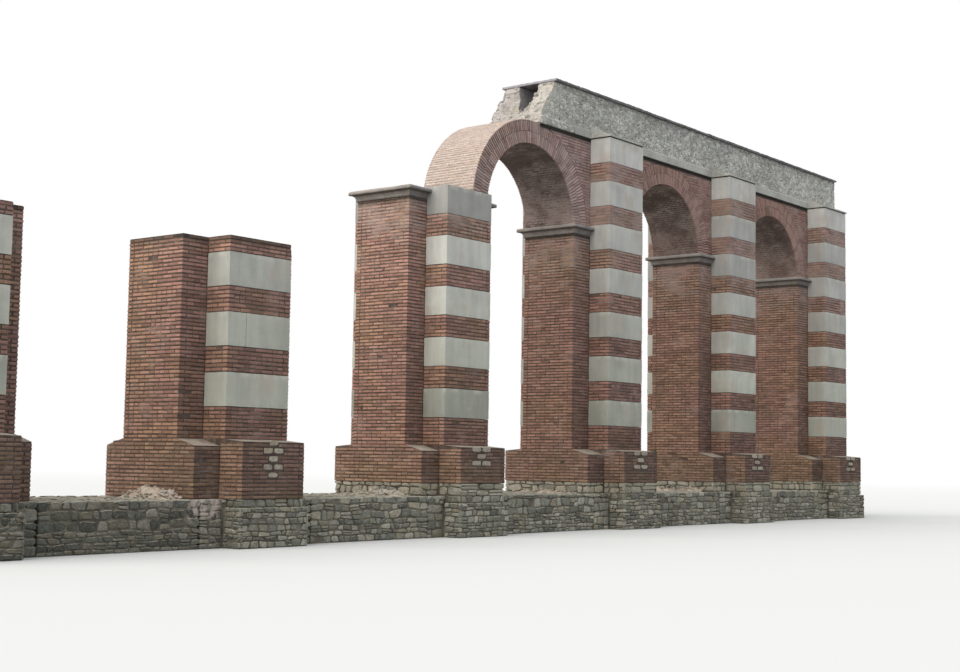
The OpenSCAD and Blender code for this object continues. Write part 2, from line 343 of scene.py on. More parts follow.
def drawn_in(node, depth, right_of=None):
    """A node's solid with each face moved in by depth(face): the mortar behind its bricks."""
    bm = solid_of(node)
    bmesh.ops.dissolve_limit(bm, angle_limit=0.02, verts=bm.verts, edges=bm.edges)
    bm.normal_update()
    moves = []
    for v in bm.verts:
        normals, depths = [], []
        for f in v.link_faces:
            if all(f.normal.dot(n) < 0.9995 for n in normals):
                normals.append(f.normal.copy())
                depths.append(-depth(f))
        moves.append(np.linalg.lstsq(np.array(normals), np.array(depths), rcond=0.02)[0])
    for v, move in zip(bm.verts, moves):
        v.co += Vector(move)
    bmesh.ops.triangulate(bm, faces=bm.faces)
    if right_of is not None:
        cut_at(bm, right_of, False)
        bmesh.ops.triangulate(bm, faces=bm.faces)
    return taken(bm)


def upright(depth, top=0.0):
    """Draws in upright faces by depth and the upper ones by top."""
    return lambda f: depth if abs(f.normal.z) < 0.3 else (top if f.normal.z > 0 else 0.0)


def grid_faces(ids):
    """The squares between the points of a grid, given their numbers."""
    return np.stack([ids[:-1, :-1], ids[1:, :-1], ids[1:, 1:], ids[:-1, 1:]], -1).reshape(-1, 4)


def joined(meshes):
    """Several (points, faces) as one."""
    starts = np.cumsum([0] + [len(points) for points, _ in meshes])
    faces = [faces + start for (_, faces), start in zip(meshes, starts)]
    return np.concatenate([points for points, _ in meshes]), np.concatenate(faces)


def piece(name, parts, materials, replaces=(), rounded=()):
    """One object from parts, each (points, faces or a pair of faces, tones or None). Each part gets the
    material of its own number, and those numbered in rounded are shaded smooth."""
    points, tones, loops, totals, slots, smooths = [], [], [], [], [], []
    start = 0
    for i, (co, faces, tone) in enumerate(parts):
        points.append(co)
        tones.append(np.tile([0.5, 0.5, 0.0, 1.0], (len(co), 1)) if tone is None else tone)
        for group in faces if isinstance(faces, tuple) else (faces,):
            loops.append(group.reshape(-1) + start)
            totals.append(np.full(len(group), group.shape[1]))
            slots.append(np.full(len(group), i))
            smooths.append(np.full(len(group), i in rounded))
        start += len(co)
    points, loops, totals = np.concatenate(points), np.concatenate(loops), np.concatenate(totals)
    mesh = bpy.data.meshes.new(name)
    mesh.vertices.add(len(points))
    mesh.vertices.foreach_set("co", points.astype(np.float32).ravel())
    mesh.loops.add(len(loops))
    mesh.loops.foreach_set("vertex_index", loops.astype(np.int32))
    mesh.polygons.add(len(totals))
    mesh.polygons.foreach_set("loop_start", (np.cumsum(totals) - totals).astype(np.int32))
    mesh.polygons.foreach_set("material_index", np.concatenate(slots).astype(np.int32))
    mesh.polygons.foreach_set("use_smooth", np.concatenate(smooths))
    mesh.update(calc_edges=True)
    tone = mesh.color_attributes.new("tone", "FLOAT_COLOR", "POINT")
    tone.data.foreach_set("color", np.concatenate(tones).astype(np.float32).ravel())
    for m in materials:
        mesh.materials.append(m)
    mesh.validate()
    ob = bpy.data.objects.new(name, mesh)
    bpy.context.scene.collection.objects.link(ob)
    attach(ob, "root")
    if replaces:
        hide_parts(*replaces)
    return ob


# Laying bricks


def courses(low, high):
    """The bottom and top of each course, where courses share out a height evenly."""
    count = max(1, round((high - low) / COURSE))
    return [(low + (high - low) * k / count, low + (high - low) * (k + 1) / count) for k in range(count)]


def course_cuts(halves, owned, arris):
    """Where the head joints of a course fall, in half bricks. At an arris that the course doesn't own, the
    neighbour's brick fills the last half."""
    left, right = arris
    first = 0 if owned or not left else 1
    last = halves if owned or not right else halves - 1
    phase = 0 if left or not right else halves % 2
    phase = phase if owned else 1 - phase
    return [first] + [m for m in range(first + 1, last) if m % 2 == phase] + [last]


def without(a, b, holes):
    """What is left of a stretch outside the holes in it."""
    parts = [(a, b)]
    for c, d in holes:
        parts = [p for x, y in parts for p in ((x, min(y, c)), (max(x, d), y)) if p[1] - p[0] > SLIVER]
    return parts


def fixed(u):
    return lambda v: u


def lay_course(units, face, low, high, left, right, owned, arris=(False, False), skip=None, holes=()):
    """One course. left(v) and right(v) bound it, so its end bricks are cut to a slope or a curve. owned
    tells whether its bricks reach round its arrises."""
    middle = (low + high) / 2
    start = left(middle)
    width = right(middle) - start
    if width < 0.05:
        return
    rng = units.rng
    halves = max(1, round(width / HALF_BRICK))
    cuts = course_cuts(halves, owned, arris)
    halved = [a + 1 for a, b in zip(cuts, cuts[1:]) if b - a == 2 and rng.random() < HALVED_SHARE]
    cuts = sorted(cuts + halved)
    at = [start + width * m / halves for m in cuts]
    for i in range(1, len(cuts) - 1):
        at[i] += rng.uniform(-0.020, 0.020)
    lift = rng.uniform(-0.004, 0.004)
    bottom = low + BED_JOINT / 2 + lift + rng.uniform(-0.004, 0.003)
    top = high - BED_JOINT / 2 + lift + rng.uniform(-0.003, 0.004)
    for i, (a, b) in enumerate(zip(cuts, cuts[1:])):
        at_left, at_right = i == 0 and a == 0, i == len(cuts) - 2 and b == halves
        on_arris = (at_left and arris[0]) or (at_right and arris[1])
        low_a, low_b, high_b, high_a = rng.uniform(-0.003, 0.003, 4)
        gap = HEAD_JOINT * rng.uniform(0.7, 1.3) / 2
        starts = (left(bottom), left(top)) if at_left else (at[i] + gap,) * 2
        ends = (right(bottom), right(top)) if at_right else (at[i + 1] - gap,) * 2
        if max(ends) - min(starts) < SLIVER or (skip and skip((at[i] + at[i + 1]) / 2, middle)):
            continue
        parts = [(starts, ends)]
        if holes:
            parts = [((u0, u0), (u1, u1)) for u0, u1 in without(starts[0], ends[0], holes)]
        for u0, u1 in parts:
            lower = (u0[0], bottom + low_a), (max(u1[0], u0[0] + 0.005), bottom + low_b)
            upper = (max(u1[1], u0[1] + 0.005), top + high_b), (u0[1], top + high_a)
            units.add(face.at(lower + upper), face.normal, CORNER_ROOT if on_arris else BRICK_ROOT)


def lay_band(units, face, low, high, left, right, primary, arris=(False, False), skip=None):
    """Courses that fill a stretch of a face. A primary face owns its arrises in the first course, the
    third and so on, and its neighbours in the others."""
    for k, (a, b) in enumerate(courses(low, high)):
        lay_course(units, face, a, b, fixed(left), fixed(right), (k % 2 == 0) == primary, arris, skip)


def pier_faces(pier, out, jamb_out):
    """A cross-shaped pier's faces: jambs, shoulders, buttress sides and buttress fronts, each with the
    ends of its stretch and which of them is an arris."""
    jambs, shoulders, sides = [], [], []
    for sx in (-1, 1):
        jamb_x, side_x = pier.x + sx * pier.half, pier.bx + sx * BUTTRESS_HALF
        jambs.append((side(sx, jamb_x), (-jamb_out, jamb_out), (True, True)))
        for sy in (-1, 1):
            shoulders.append((front(sy, jamb_out), sorted((side_x, jamb_x)), (sx < 0, sx > 0)))
            sides.append((side(sx, side_x), sorted((sy * jamb_out, sy * out)), (sy < 0, sy > 0)))
    stretch = (pier.bx - BUTTRESS_HALF, pier.bx + BUTTRESS_HALF)
    fronts = [(front(sy, out), stretch, (True, True)) for sy in (-1, 1)]
    return jambs, shoulders, sides, fronts


def surface_height(node):
    """A function that gives the height of a node's upper surface at x and y, or None beside it."""
    mesh = NODES[node].data
    mesh.calc_loop_triangles()
    points = [v.co.copy() for v in mesh.vertices]
    tree = BVHTree.FromPolygons(points, [tuple(t.vertices) for t in mesh.loop_triangles])

    def height(x, y):
        hit = tree.ray_cast(Vector((x, y, 50.0)), Vector((0, 0, -1)))[0]
        return None if hit is None else hit.z

    return height


def lay_shaft(units, pier, rng):
    """Bricks on all the faces of a shaft, and on its top where it is bare."""
    fallen = pier.key in "ab"
    height = surface_height("shaft_" + pier.key)
    jambs, shoulders, sides, fronts = pier_faces(pier, BUTTRESS_Y, CORE_Y)

    def gone(face):
        """Tells which bricks of a face are missing: those over the ragged top, and some of the next ones."""

        def skip(u, v):
            x, y, _ = face.at([u, v]) - face.normal * 0.06
            top = height(x, y)
            if top is None or v + 0.3 * COURSE > top:
                return True
            return fallen and v > pier.top - COURSE and rng.random() < MISSING_SHARE

        return skip if fallen else None

    for group, primary in ((jambs, True), (shoulders, False)):
        for face, (a, b), arris in group:
            lay_band(units, face, pier.bottom, pier.top, a, b, primary, arris, gone(face))
    for low, high in pier.bands(pier.bottom, pier.top):
        for group, primary in ((sides, False), (fronts, True)):
            for face, (a, b), arris in group:
                lay_band(units, face, low, high, a, b, primary, arris, gone(face))
    if fallen or pier.key == "c":
        lay_top(units, pier, height, rng)


def lay_top(units, pier, height, rng):
    """Bricks lying on a shaft's bare top, sunk in mortar, some of them gone."""
    rows = int(2 * BUTTRESS_Y / HALF_BRICK)
    for j in range(rows):
        y0 = -BUTTRESS_Y + 2 * BUTTRESS_Y * j / rows
        y1 = y0 + 2 * BUTTRESS_Y / rows
        on_core = max(abs(y0), abs(y1)) < CORE_Y + 0.02
        reach, middle = (pier.half, pier.x) if on_core else (BUTTRESS_HALF, pier.bx)
        count = round(reach / HALF_BRICK)
        shift = HALF_BRICK if j % 2 else 0.0
        for i in range(count + 1):
            x0 = max(middle - reach + TOP_INSET, middle - reach - shift + i * 2 * reach / count)
            x1 = min(middle + reach - TOP_INSET, middle - reach - shift + (i + 1) * 2 * reach / count)
            z = [height((x0 + x1) / 2 + dx, (y0 + y1) / 2) for dx in (-0.08, 0.0, 0.08)]
            if x1 - x0 < 2 * SLIVER or None in z or max(z) - min(z) > 0.01:
                continue
            if rng.random() < TOP_MISSING_SHARE:
                continue
            face = Face((0, 0, z[1] - rng.uniform(0, 0.012)), X, Z, Y)
            a, b, c, d = x0 + TOP_GAP, x1 - TOP_GAP, y0 + TOP_GAP, y1 - TOP_GAP
            units.add(face.at([(a, c), (b, c), (b, d), (a, d)]), Z, root=0.06, mark=0.3)


# Rows of pale stones that fill a patch of each plinth's front, from the top down: 1 is single, 2 a pair
PATCH_ROWS = {k: (1, 2, 1, 2, 1) if k in "ab" else (2, 1, 2) for k in "abcdef"}
PATCH_STEP = {k: 0.168 if k in "abc" else 0.190 for k in "abcdef"}
PATCH_Z = {k: 2.184 if k in "ab" else 2.150 for k in "abcdef"}  # the middle of the uppermost row
PATCH_X = {"a": 0.0, "b": -0.01, "c": -0.06, "d": 0.0, "e": -0.03, "f": 0.02}  # from the buttress's middle
PATCH_W = {k: 0.295 if k in "ab" else 0.385 for k in "abcdef"}
PATCH_H = 0.140
PATCH_GAP = 0.012  # the joint beside the stones


def patch_rects(pier):
    """The patch's stones as (left, right, bottom, top)."""
    rects = []
    x, half = pier.bx + PATCH_X[pier.key], PATCH_W[pier.key] / 2
    for row, number in enumerate(PATCH_ROWS[pier.key]):
        z = PATCH_Z[pier.key] - row * PATCH_STEP[pier.key]
        for dx in (-half - PATCH_GAP / 2, half + PATCH_GAP / 2) if number == 2 else (0.0,):
            rects.append((x + dx - half, x + dx + half, z - PATCH_H / 2, z + PATCH_H / 2))
    return rects


def lay_plinth(units, pier):
    """Bricks on a plinth's upright faces, up to the weathering."""
    jambs, shoulders, sides, fronts = pier_faces(pier, PLINTH_Y, JAMB_Y)
    rects = patch_rects(pier)

    def slope(v):
        return CORE_Y + PLINTH_P * min(1.0, (PLINTH_TOP - v) / CORE_FALL)

    for k, (a, b) in enumerate(courses(pier.plinth_bottom, PLINTH_TOP)):
        even = k % 2 == 0
        on_jamb = b < PLINTH_TOP - CORE_FALL + 0.01
        on_buttress = b < PLINTH_TOP - BUTTRESS_FALL + 0.02
        for face, _, arris in jambs:
            ends = arris if on_jamb else (False, False)
            lay_course(units, face, a, b, lambda v: -slope(v), slope, even, ends)
        cut = [(c, d) for c, d, z0, z1 in rects if z0 < b - 0.02 and a + 0.02 < z1]
        holes = [(c - PATCH_GAP, d + PATCH_GAP) for c, d in cut]
        groups = (
            (shoulders, not even, on_jamb, ()),
            (sides, not even, on_buttress, ()),
            (fronts, even, on_buttress, holes),
        )
        for group, owned, in_reach, cut_out in groups:
            for face, (u0, u1), arris in group if in_reach else ():
                lay_course(units, face, a, b, fixed(u0), fixed(u1), owned, arris, None, cut_out)


def lay_spandrel(units, core, pier, arches):
    """Bricks over a pier, cut to the backs of the arches beside it. core gets those of the arcade's face."""
    left_arch, right_arch = (ARCHES[key] if key else None for key in arches)
    x0, x1 = span("spandrel_" + pier.key, 0)

    def left(v):
        return max(left_arch.x + left_arch.reach(v) + ARCH_GAP, x0)

    def right(v):
        return min(right_arch.x - right_arch.reach(v) - ARCH_GAP, x1) if right_arch else x1

    for sy in (-1, 1):
        face = front(sy, CORE_Y)
        for k, (a, b) in enumerate(courses(SPRING_Z, BED_Z)):
            lay_course(core, face, a, b, left, fixed(pier.bx - BUTTRESS_HALF), k % 2 == 0)
            arris = (False, right_arch is None)
            lay_course(core, face, a, b, fixed(pier.bx + BUTTRESS_HALF), right, k % 2 == 1, arris)
    if right_arch is None:
        lay_band(core, side(1, END_X), SPRING_Z, BED_Z, -CORE_Y, CORE_Y, True, (True, True))
    _, _, sides, fronts = pier_faces(pier, BUTTRESS_Y, CORE_Y)
    for low, high in pier.bands(SPRING_Z, BED_Z):
        for group, primary in ((sides, False), (fronts, True)):
            for face, (a, b), arris in group:
                lay_band(units, face, low, high, a, b, primary, arris)


def springing_turn(radius):
    """The angle above the circle's middle at which an arch of this radius springs."""
    return math.asin((SPRING_Z - ARC_Z) / radius)


def turns(radius, count):
    """The angles at which each of the bricks round an arch starts and ends, from its left side over."""
    first = springing_turn(radius)
    sweep = math.pi - 2 * first
    return [(first + sweep * (1 - i / count), first + sweep * (1 - (i + 1) / count)) for i in range(count)]


def bricks_round(radius, along):
    """How many bricks go round an arch, counted along another radius."""
    return round((math.pi - 2 * springing_turn(radius)) * along / RING_BRICK)


def lay_ring(faces, arch, ring, bare):
    """One ring of an arch, on both its faces. Where an arch is bare, its outer ring is worn ragged."""
    rng = faces.rng
    inner = arch.radius + ring * RING_T
    outer = inner + RING_T
    middle = (inner + outer) / 2
    for a0, a1 in turns(middle, bricks_round(middle, middle)):
        points = []
        for r, a, s in ((inner, a0, -1), (inner, a1, 1), (outer, a1, 1), (outer, a0, -1)):
            ragged = bare and ring == 1 and a > RAGGED_FROM
            at = r - RING_JOINT / 2 if r == outer else r + ring * RING_JOINT / 2
            turn = a + s * RING_GAP * rng.uniform(0.75, 1.25) * (1.5 if ragged else 1.0) / 2 / r
            at -= rng.uniform(0.0, 0.022) if ragged and r == outer else 0.0
            z = min(ARC_Z + at * math.sin(turn), BED_Z - 0.004)
            points.append((arch.x + at * math.cos(turn), max(z, SPRING_Z)))
        for sy in (-1, 1):
            face = front(sy, CORE_Y)
            faces.add(face.at(points), face.normal, RING_ROOT)


def lay_arch(faces, vault, back, arch):
    """Ring bricks on both faces and the underside of an arch, and on its back where it is bare."""
    for ring in (0, 1):
        lay_ring(faces, arch, ring, back is not None)
    rows = bricks_round(arch.radius, arch.radius + RING_T / 2)
    for i, ends in enumerate(turns(arch.radius, rows)):
        lay_barrel(vault, arch, arch.radius, ends, i % 2, RING_EDGE, -1, RING_GAP)
    if back is not None:
        outer = arch.radius + ARCH_T
        rows = round(math.pi * outer / RING_BRICK)
        for i, ends in enumerate(turns(outer, rows)):
            if arch.x - outer * math.cos(math.pi * (i + 1) / rows) < BROKEN_X + BARE_TO:
                lay_barrel(back, arch, outer, ends, i % 2, 0.0, 1, BED_JOINT)


def lay_barrel(units, arch, radius, turn_ends, odd, inset, looks, gap):
    """A row of bricks across the thickness, inset from both faces. looks is -1 on an arch's underside
    and 1 on its back."""
    rng = units.rng
    middle = sum(turn_ends) / 2
    ends = []
    for a, s in zip(turn_ends, (-1, 1)):
        turn = a + s * gap * rng.uniform(0.7, 1.3) / 2 / radius
        z = min(ARC_Z + radius * math.sin(turn), BED_Z - 0.001)
        ends.append(np.array([arch.x + radius * math.cos(turn), 0.0, z]))
    normal = looks * np.array([math.cos(middle), 0.0, math.sin(middle)])
    half = CORE_Y - inset
    count = round(2 * half / HALF_BRICK)
    shift = 0.0 if odd else 0.5
    cuts = [(j + 1 - shift) * 2 * half / count - half + rng.uniform(-0.03, 0.03) for j in range(count)]
    cuts = [-half] + [y for y in cuts if y < half - 0.05] + [half]
    for y0, y1 in zip(cuts, cuts[1:]):
        y0 += 0.0 if looks > 0 and y0 <= 1e-6 - half else HEAD_JOINT / 2
        y1 -= 0.0 if looks > 0 and y1 >= half - 1e-6 else HEAD_JOINT / 2
        units.add(np.array([ends[0] + y0 * Y, ends[1] + y0 * Y, ends[1] + y1 * Y, ends[0] + y1 * Y]), normal)


# Laying rubble


class Rubble:
    """How a wall's stones run: their heights, lengths, joints and waves, and how many are split in two."""

    def __init__(self, tall, long, joint, wave, split=0.2):
        self.tall, self.long, self.joint, self.wave, self.split = tall, long, joint, wave, split


SQUARED = Rubble((0.12, 0.24), (0.16, 0.46), 0.018, 0.034, 0.15)
DRESSED = Rubble((0.14, 0.22), (0.30, 0.80), 0.014, 0.014, 0.12)
SMALL = Rubble((0.07, 0.16), (0.12, 0.36), 0.016, 0.022)
PAVED = Rubble((0.16, 0.32), (0.18, 0.45), 0.030, 0.035)
LOST_SHARE = 0.02  # how many stones have fallen out, and fewer of the pale ones
FLUSH_GAP = 0.0005  # how far the outer stones stay inside the ends of a face


def cut_corners(corners, joint, rng):
    """A stone's eight-sided outline inside four corners, with the joint round it."""
    corners = np.array(corners)
    centre = corners.mean(0)
    after, before = np.roll(corners, -1, 0), np.roll(corners, 1, 0)
    corners = corners + (unit(after - corners) + unit(before - corners)) * joint / 2
    out = []
    for corner, after, before in zip(corners, np.roll(corners, -1, 0), np.roll(corners, 1, 0)):
        out.append(corner + (before - corner) * rng.uniform(0.04, 0.30))
        out.append(corner + (after - corner) * rng.uniform(0.04, 0.30))
    out = np.array(out)
    return out + (centre - out) * rng.uniform(0.0, 0.12, (8, 1))


def rubble_courses(v0, v1, kind, small_below, rng):
    """The heights at which courses of rubble meet, and the kind of each course."""
    lines, kinds = [v0], []
    while lines[-1] < v1 - 1e-6:
        now = small_below[1] if small_below and lines[-1] < small_below[0] else kind
        height = rng.uniform(*now.tall)
        left = v1 - lines[-1]
        if left < 1.3 * height or left - height < 0.6 * now.tall[0]:
            height = left if left < 1.5 * now.tall[1] else left / 2
        lines.append(lines[-1] + height)
        kinds.append(now)
    return lines, kinds


def lay_rubble(units, face, u0, u1, v0, v1, kind, rng, root=0.07, small_below=None, pale=0.0):
    """Stones in wavering courses over a stretch of a face. small_below is a height and the kind under it."""
    if u1 - u0 < 0.04 or v1 - v0 < 0.04:
        return
    flush = kind.joint / 2 - FLUSH_GAP
    u0, u1, v1 = u0 - flush, u1 + flush, v1 + flush
    lines, kinds = rubble_courses(v0, v1, kind, small_below, rng)
    waves = [(rng.uniform(0.5, 1.0), rng.uniform(3, 9), rng.uniform(0, 6.3)) for _ in lines[1:-1]]
    straight = (0.0, 0.0, 0.0)
    waves = [straight, *waves, straight]
    for k, now in enumerate(kinds):
        cuts = [u0]
        while cuts[-1] < u1 - 1e-6:
            length = rng.uniform(*now.long)
            cuts.append(u1 if u1 - cuts[-1] < 1.35 * length else cuts[-1] + length)
        leans = [0.0] + [rng.uniform(-0.038, 0.038) for _ in cuts[1:-1]] + [0.0]
        # Each upright joint from its foot to its head
        joints = []
        for u, lean in zip(cuts, leans):
            low, high = (
                lines[j] + now.wave * size * math.sin(rate * u + turn)
                for j, (size, rate, turn) in ((k, waves[k]), (k + 1, waves[k + 1]))
            )
            joints.append(np.array([(u - lean, low), (u + lean, high)]))
        for (a0, a1), (b0, b1) in zip(joints, joints[1:]):
            boxes = [(a0, b0, b1, a1)]
            if rng.random() < now.split and a1[1] - a0[1] > 0.1:
                share = rng.uniform(0.4, 0.6)
                a, b = a0 + (a1 - a0) * share, b0 + (b1 - b0) * share
                boxes = [(a0, b0, b, a), (a, b, b1, a1)]
            for corners in boxes:
                if rng.random() > LOST_SHARE * (1 - pale):
                    mark = pale * rng.uniform(0.4, 1.0)
                    units.add(face.at(cut_corners(corners, now.joint, rng)), face.normal, root, mark)


# Materials

FALLEN_X = -8.0  # the fallen piers A and B stand left of this


def put(tree, socket, value):
    """Wires an output to an input, or sets the input to a number, a vector or a colour."""
    if isinstance(value, bpy.types.NodeSocket):
        tree.links.new(value, socket)
    elif isinstance(value, tuple) and len(value) < len(socket.default_value):
        socket.default_value = (*value, 1.0)
    else:
        socket.default_value = value


def wired(tree, kind, inputs=None, **settings):
    """A new shader node with its settings, and with its inputs set or wired up."""
    new = tree.nodes.new("ShaderNode" + kind)
    for name, value in settings.items():
        setattr(new, name, value)
    for which, value in (inputs or {}).items():
        put(tree, new.inputs[which], value)
    return new


class Shader:
    """A short way to wire up a material."""

    def __init__(self, name, roughness=0.9, specular=0.25):
        self.material = bpy.data.materials.new(name)
        self.material.use_nodes = True
        self.tree = self.material.node_tree
        self.shader = self.tree.nodes["Principled BSDF"]
        self.shader.inputs["Roughness"].default_value = roughness
        self.shader.inputs["Specular IOR Level"].default_value = specular
        self.coords = self.add("TexCoord").outputs["Object"]

    def add(self, kind, inputs=None, **settings):
        return wired(self.tree, kind, inputs, **settings)

    def noise(self, scale, detail=4.0, rough=0.55, shift=0.0, tall=1.0):
        """Cloudy noise, drawn out upwards where tall is under 1 and flattened where it is over 1."""
        place = {"Vector": self.coords, "Scale": (1, 1, tall), "Location": (shift, shift * 1.7, shift * 0.6)}
        at = self.add("Mapping", place).outputs["Vector"]
        grain = {"Vector": at, "Scale": scale, "Detail": detail, "Roughness": rough}
        return self.add("TexNoise", grain).outputs["Fac"]

    def tone(self):
        """The three random numbers of each brick or stone."""
        colour = self.add("Attribute", attribute_name="tone").outputs["Color"]
        return self.add("SeparateColor", {"Color": colour}).outputs[:3]

    def axis(self, which):
        """A coordinate: 0 along the row, 1 across it and 2 upwards."""
        return self.add("SeparateXYZ", {"Vector": self.coords}).outputs[which]

    def normal(self, which):
        """How much the surface looks along an axis."""
        looks = self.add("NewGeometry").outputs["Normal"]
        return self.add("SeparateXYZ", {"Vector": looks}).outputs[which]

    def ramp(self, value, colours):
        """Colours spread evenly over the values from 0 to 1."""
        new = self.add("ValToRGB", {"Fac": value})
        stops = new.color_ramp.elements
        while len(stops) < len(colours):
            stops.new(0.5)
        for i, (stop, colour) in enumerate(zip(stops, colours)):
            stop.position = i / (len(colours) - 1)
            stop.color = (*colour, 1.0)
        return new.outputs["Color"]

    def fade(self, value, low, high, to_low=0.0, to_high=1.0):
        """A smooth step from to_low where the value is low to to_high where it is high."""
        ends = {"Value": value, "From Min": low, "From Max": high, "To Min": to_low, "To Max": to_high}
        return self.add("MapRange", ends, interpolation_type="SMOOTHSTEP").outputs["Result"]

    def number(self, a, b, kind="ADD"):
        return self.add("Math", {0: a, 1: b}, operation=kind).outputs[0]

    def both(self, a, b):
        """Where two shares hold at once."""
        return self.number(a, b, "MULTIPLY")

    def mix(self, share, a, b, kind="MIX"):
        return self.add("Mix", {0: share, 6: a, 7: b}, data_type="RGBA", blend_type=kind).outputs[2]

    def times(self, a, b):
        return self.mix(1.0, a, b, "MULTIPLY")

    def tinted(self, base, share, tint):
        """A colour times a tint, over some share of the surface."""
        return self.mix(share, base, self.times(base, tint))

    def mottled(self, base, value, low, high, dark, light):
        """A colour darkened where a value is low and lightened where it is high."""
        return self.times(base, self.fade(value, low, high, dark, light))

    def stained_and_shaded(self, base, colour, value, low, high, amount=1.0):
        """A colour that gives way to another by some amount where a value is high."""
        return self.mix(self.fade(value, low, high, 0.0, amount), base, colour)

    def finish(self, colour, height=None, depth=0.012, strength=0.8):
        put(self.tree, self.shader.inputs["Base Color"], colour)
        if height is not None:
            bump = self.add("Bump", {"Height": height, "Strength": strength, "Distance": depth})
            self.tree.links.new(bump.outputs["Normal"], self.shader.inputs["Normal"])
        return self.material


def shaded_and_grimed(s, base, low=0.58, high=0.95):
    """A colour made darker and greyer on the faces that look along y, the more so low down: painted shade on
    the fronts and backs, with some grime.
    """
    upright_face = s.fade(s.number(s.normal(1), 0.0, "ABSOLUTE"), 0.5, 0.9)
    return s.tinted(base, upright_face, s.times(s.fade(s.axis(2), 1.8, 8.5, low, high), (0.96, 1.0, 1.10)))


def ledge_shade_and_dark_tops(s, z):
    """How much painted shade darkens the brickwork right under the channel's band and the imposts, and how
    much darker it is along the fallen tops.
    """
    band = s.both(s.fade(z, BED_Z - 0.17, BED_Z - 0.08), s.fade(s.axis(0), BROKEN_X + 0.2, BROKEN_X + 0.4))
    impost = s.both(s.fade(z, IMPOST_Z - 0.13, IMPOST_Z - 0.04), s.fade(z, IMPOST_Z + 0.03, IMPOST_Z + 0.01))
    fallen = s.both(s.fade(z, FALLEN_Z - 0.18, FALLEN_Z - 0.06), s.fade(s.axis(0), FALLEN_X, FALLEN_X - 0.5))
    stain_and_shade = s.number(band, s.both(impost, 0.7), "MAXIMUM")
    return s.number(stain_and_shade, s.both(fallen, 0.65), "MAXIMUM")


def brick_material(
    name, pink, ochre, uneven=0.22, soot=0.3, stained_and_shaded=True, odd=0.5, high=0.93, crown=1.0, arcade=False
):
    """Fired brick: pinkish and ochre stretches, a tone of its own for each, mottled and weathered. soot and
    odd say how strongly soot and overfired bricks show, and crown how far painted shade darkens a vault
    towards its top."""
    s = Shader(name)
    light, hue, _ = s.tone()
    z = s.axis(2)
    base = s.mix(s.fade(s.noise(0.5, 5, 0.6, tall=1.5), 0.40, 0.62), pink, ochre)
    base = s.mottled(base, light, 0.0, 1.0, 1 - uneven, 1 + uneven)
    base = s.stained_and_shaded(base, (0.20, 0.105, 0.08), hue, 0.95, 0.96, odd)
    base = s.mottled(base, s.noise(30, 5, 0.65), 0.3, 0.7, 0.80, 1.18)
    lime = s.number(s.noise(1.4, 6, 0.68, 3.0, 2.4), s.fade(z, 6.0, 8.4, 0.0, 0.18))
    base = s.stained_and_shaded(base, (0.52, 0.43, 0.37), lime, 0.50, 0.78, 0.40)
    base = s.stained_and_shaded(base, (0.085, 0.062, 0.055), s.noise(0.8, 5, 0.6, 7.0, 0.5), 0.48, 0.75, soot)
    # Painted shade, deepening up a vault towards its crown
    if crown < 1.0:
        base = s.times(base, s.times(s.fade(z, SPRING_Z, SPRING_Z + 1.7, 1.0, crown), (0.97, 1.0, 1.06)))
    moss = s.both(s.fade(z, 1.9, 1.2), s.fade(s.noise(1.7, 5, 0.65, 1.0), 0.45, 0.70))
    base = s.mix(s.both(moss, 0.3), base, (0.27, 0.22, 0.08))
    if stained_and_shaded:
        # Painted shade right under the band and the imposts, and darker fallen tops
        base = s.mix(ledge_shade_and_dark_tops(s, z), base, (0.040, 0.038, 0.030))
        # Painted shade, with some grime, on the faces that look along y
        base = shaded_and_grimed(s, base, high=high)
        # The brickwork past pier C is darker and redder, the arcade's partly as painted shade, and the
        # plinths are damp
        if arcade:
            base = s.tinted(base, s.fade(s.axis(0), 3.0, 5.5), (0.86, 0.77, 0.72))
        else:
            base = s.tinted(base, s.fade(s.axis(0), 0.5, 1.5), (0.90, 0.90, 0.91))
            base = s.tinted(base, s.fade(z, PLINTH_TOP + 0.1, PLINTH_TOP - 0.1), (0.86, 0.93, 0.89))
    else:
        base = s.stained_and_shaded(base, (0.66, 0.60, 0.57), z, 10.0, 11.5, 0.4)
    return s.finish(base, s.noise(60, 5), 0.004, 0.6)


def joint_material(name, dark, light, stained_and_shaded=True):
    """Mortar of the brickwork, with lime washed out of it in places and most of all high up."""
    s = Shader(name, 0.95)
    z = s.axis(2)
    base = s.mix(s.fade(s.noise(5, 6, tall=2), 0.35, 0.75), dark, light)
    if stained_and_shaded:
        lime = s.number(s.noise(1.1, 6, 0.65, 15.0, 1.3), s.fade(z, 6.2, 8.4, 0.0, 0.14))
        base = s.stained_and_shaded(base, (0.40, 0.335, 0.295), lime, 0.54, 0.74, 0.75)
        # Painted shade right under the band and the imposts, and darker fallen tops
        base = s.mix(ledge_shade_and_dark_tops(s, z), base, (0.030, 0.028, 0.024))
        # Painted shade, with some grime, on the faces that look along y
        base = shaded_and_grimed(s, base, 0.75, 1.1)
    return s.finish(base, s.noise(90, 4), 0.004)


def dust_and_light_on_tops(s, base):
    """A colour paler on faces that look up: mortar and dust lying there, and painted light from above."""
    return s.stained_and_shaded(base, (0.52, 0.48, 0.39), s.normal(2), 0.55, 0.9, 0.75)


def limed(s, base):
    """A colour whitened by the pinkish mortar that is smeared over the corner under pier B."""
    corner = PIERS["b"].left
    right_of = s.fade(s.axis(0), corner - 0.5, corner - 0.1)
    left_of = s.fade(s.axis(0), corner + 0.7, corner + 0.4)
    there = s.both(s.both(right_of, left_of), s.fade(s.axis(2), 0.45, 0.75))
    smear = s.both(there, s.fade(s.noise(5, 6, 0.65, 31.0), 0.42, 0.58))
    return s.mix(s.both(smear, 0.85), base, (0.62, 0.52, 0.47))


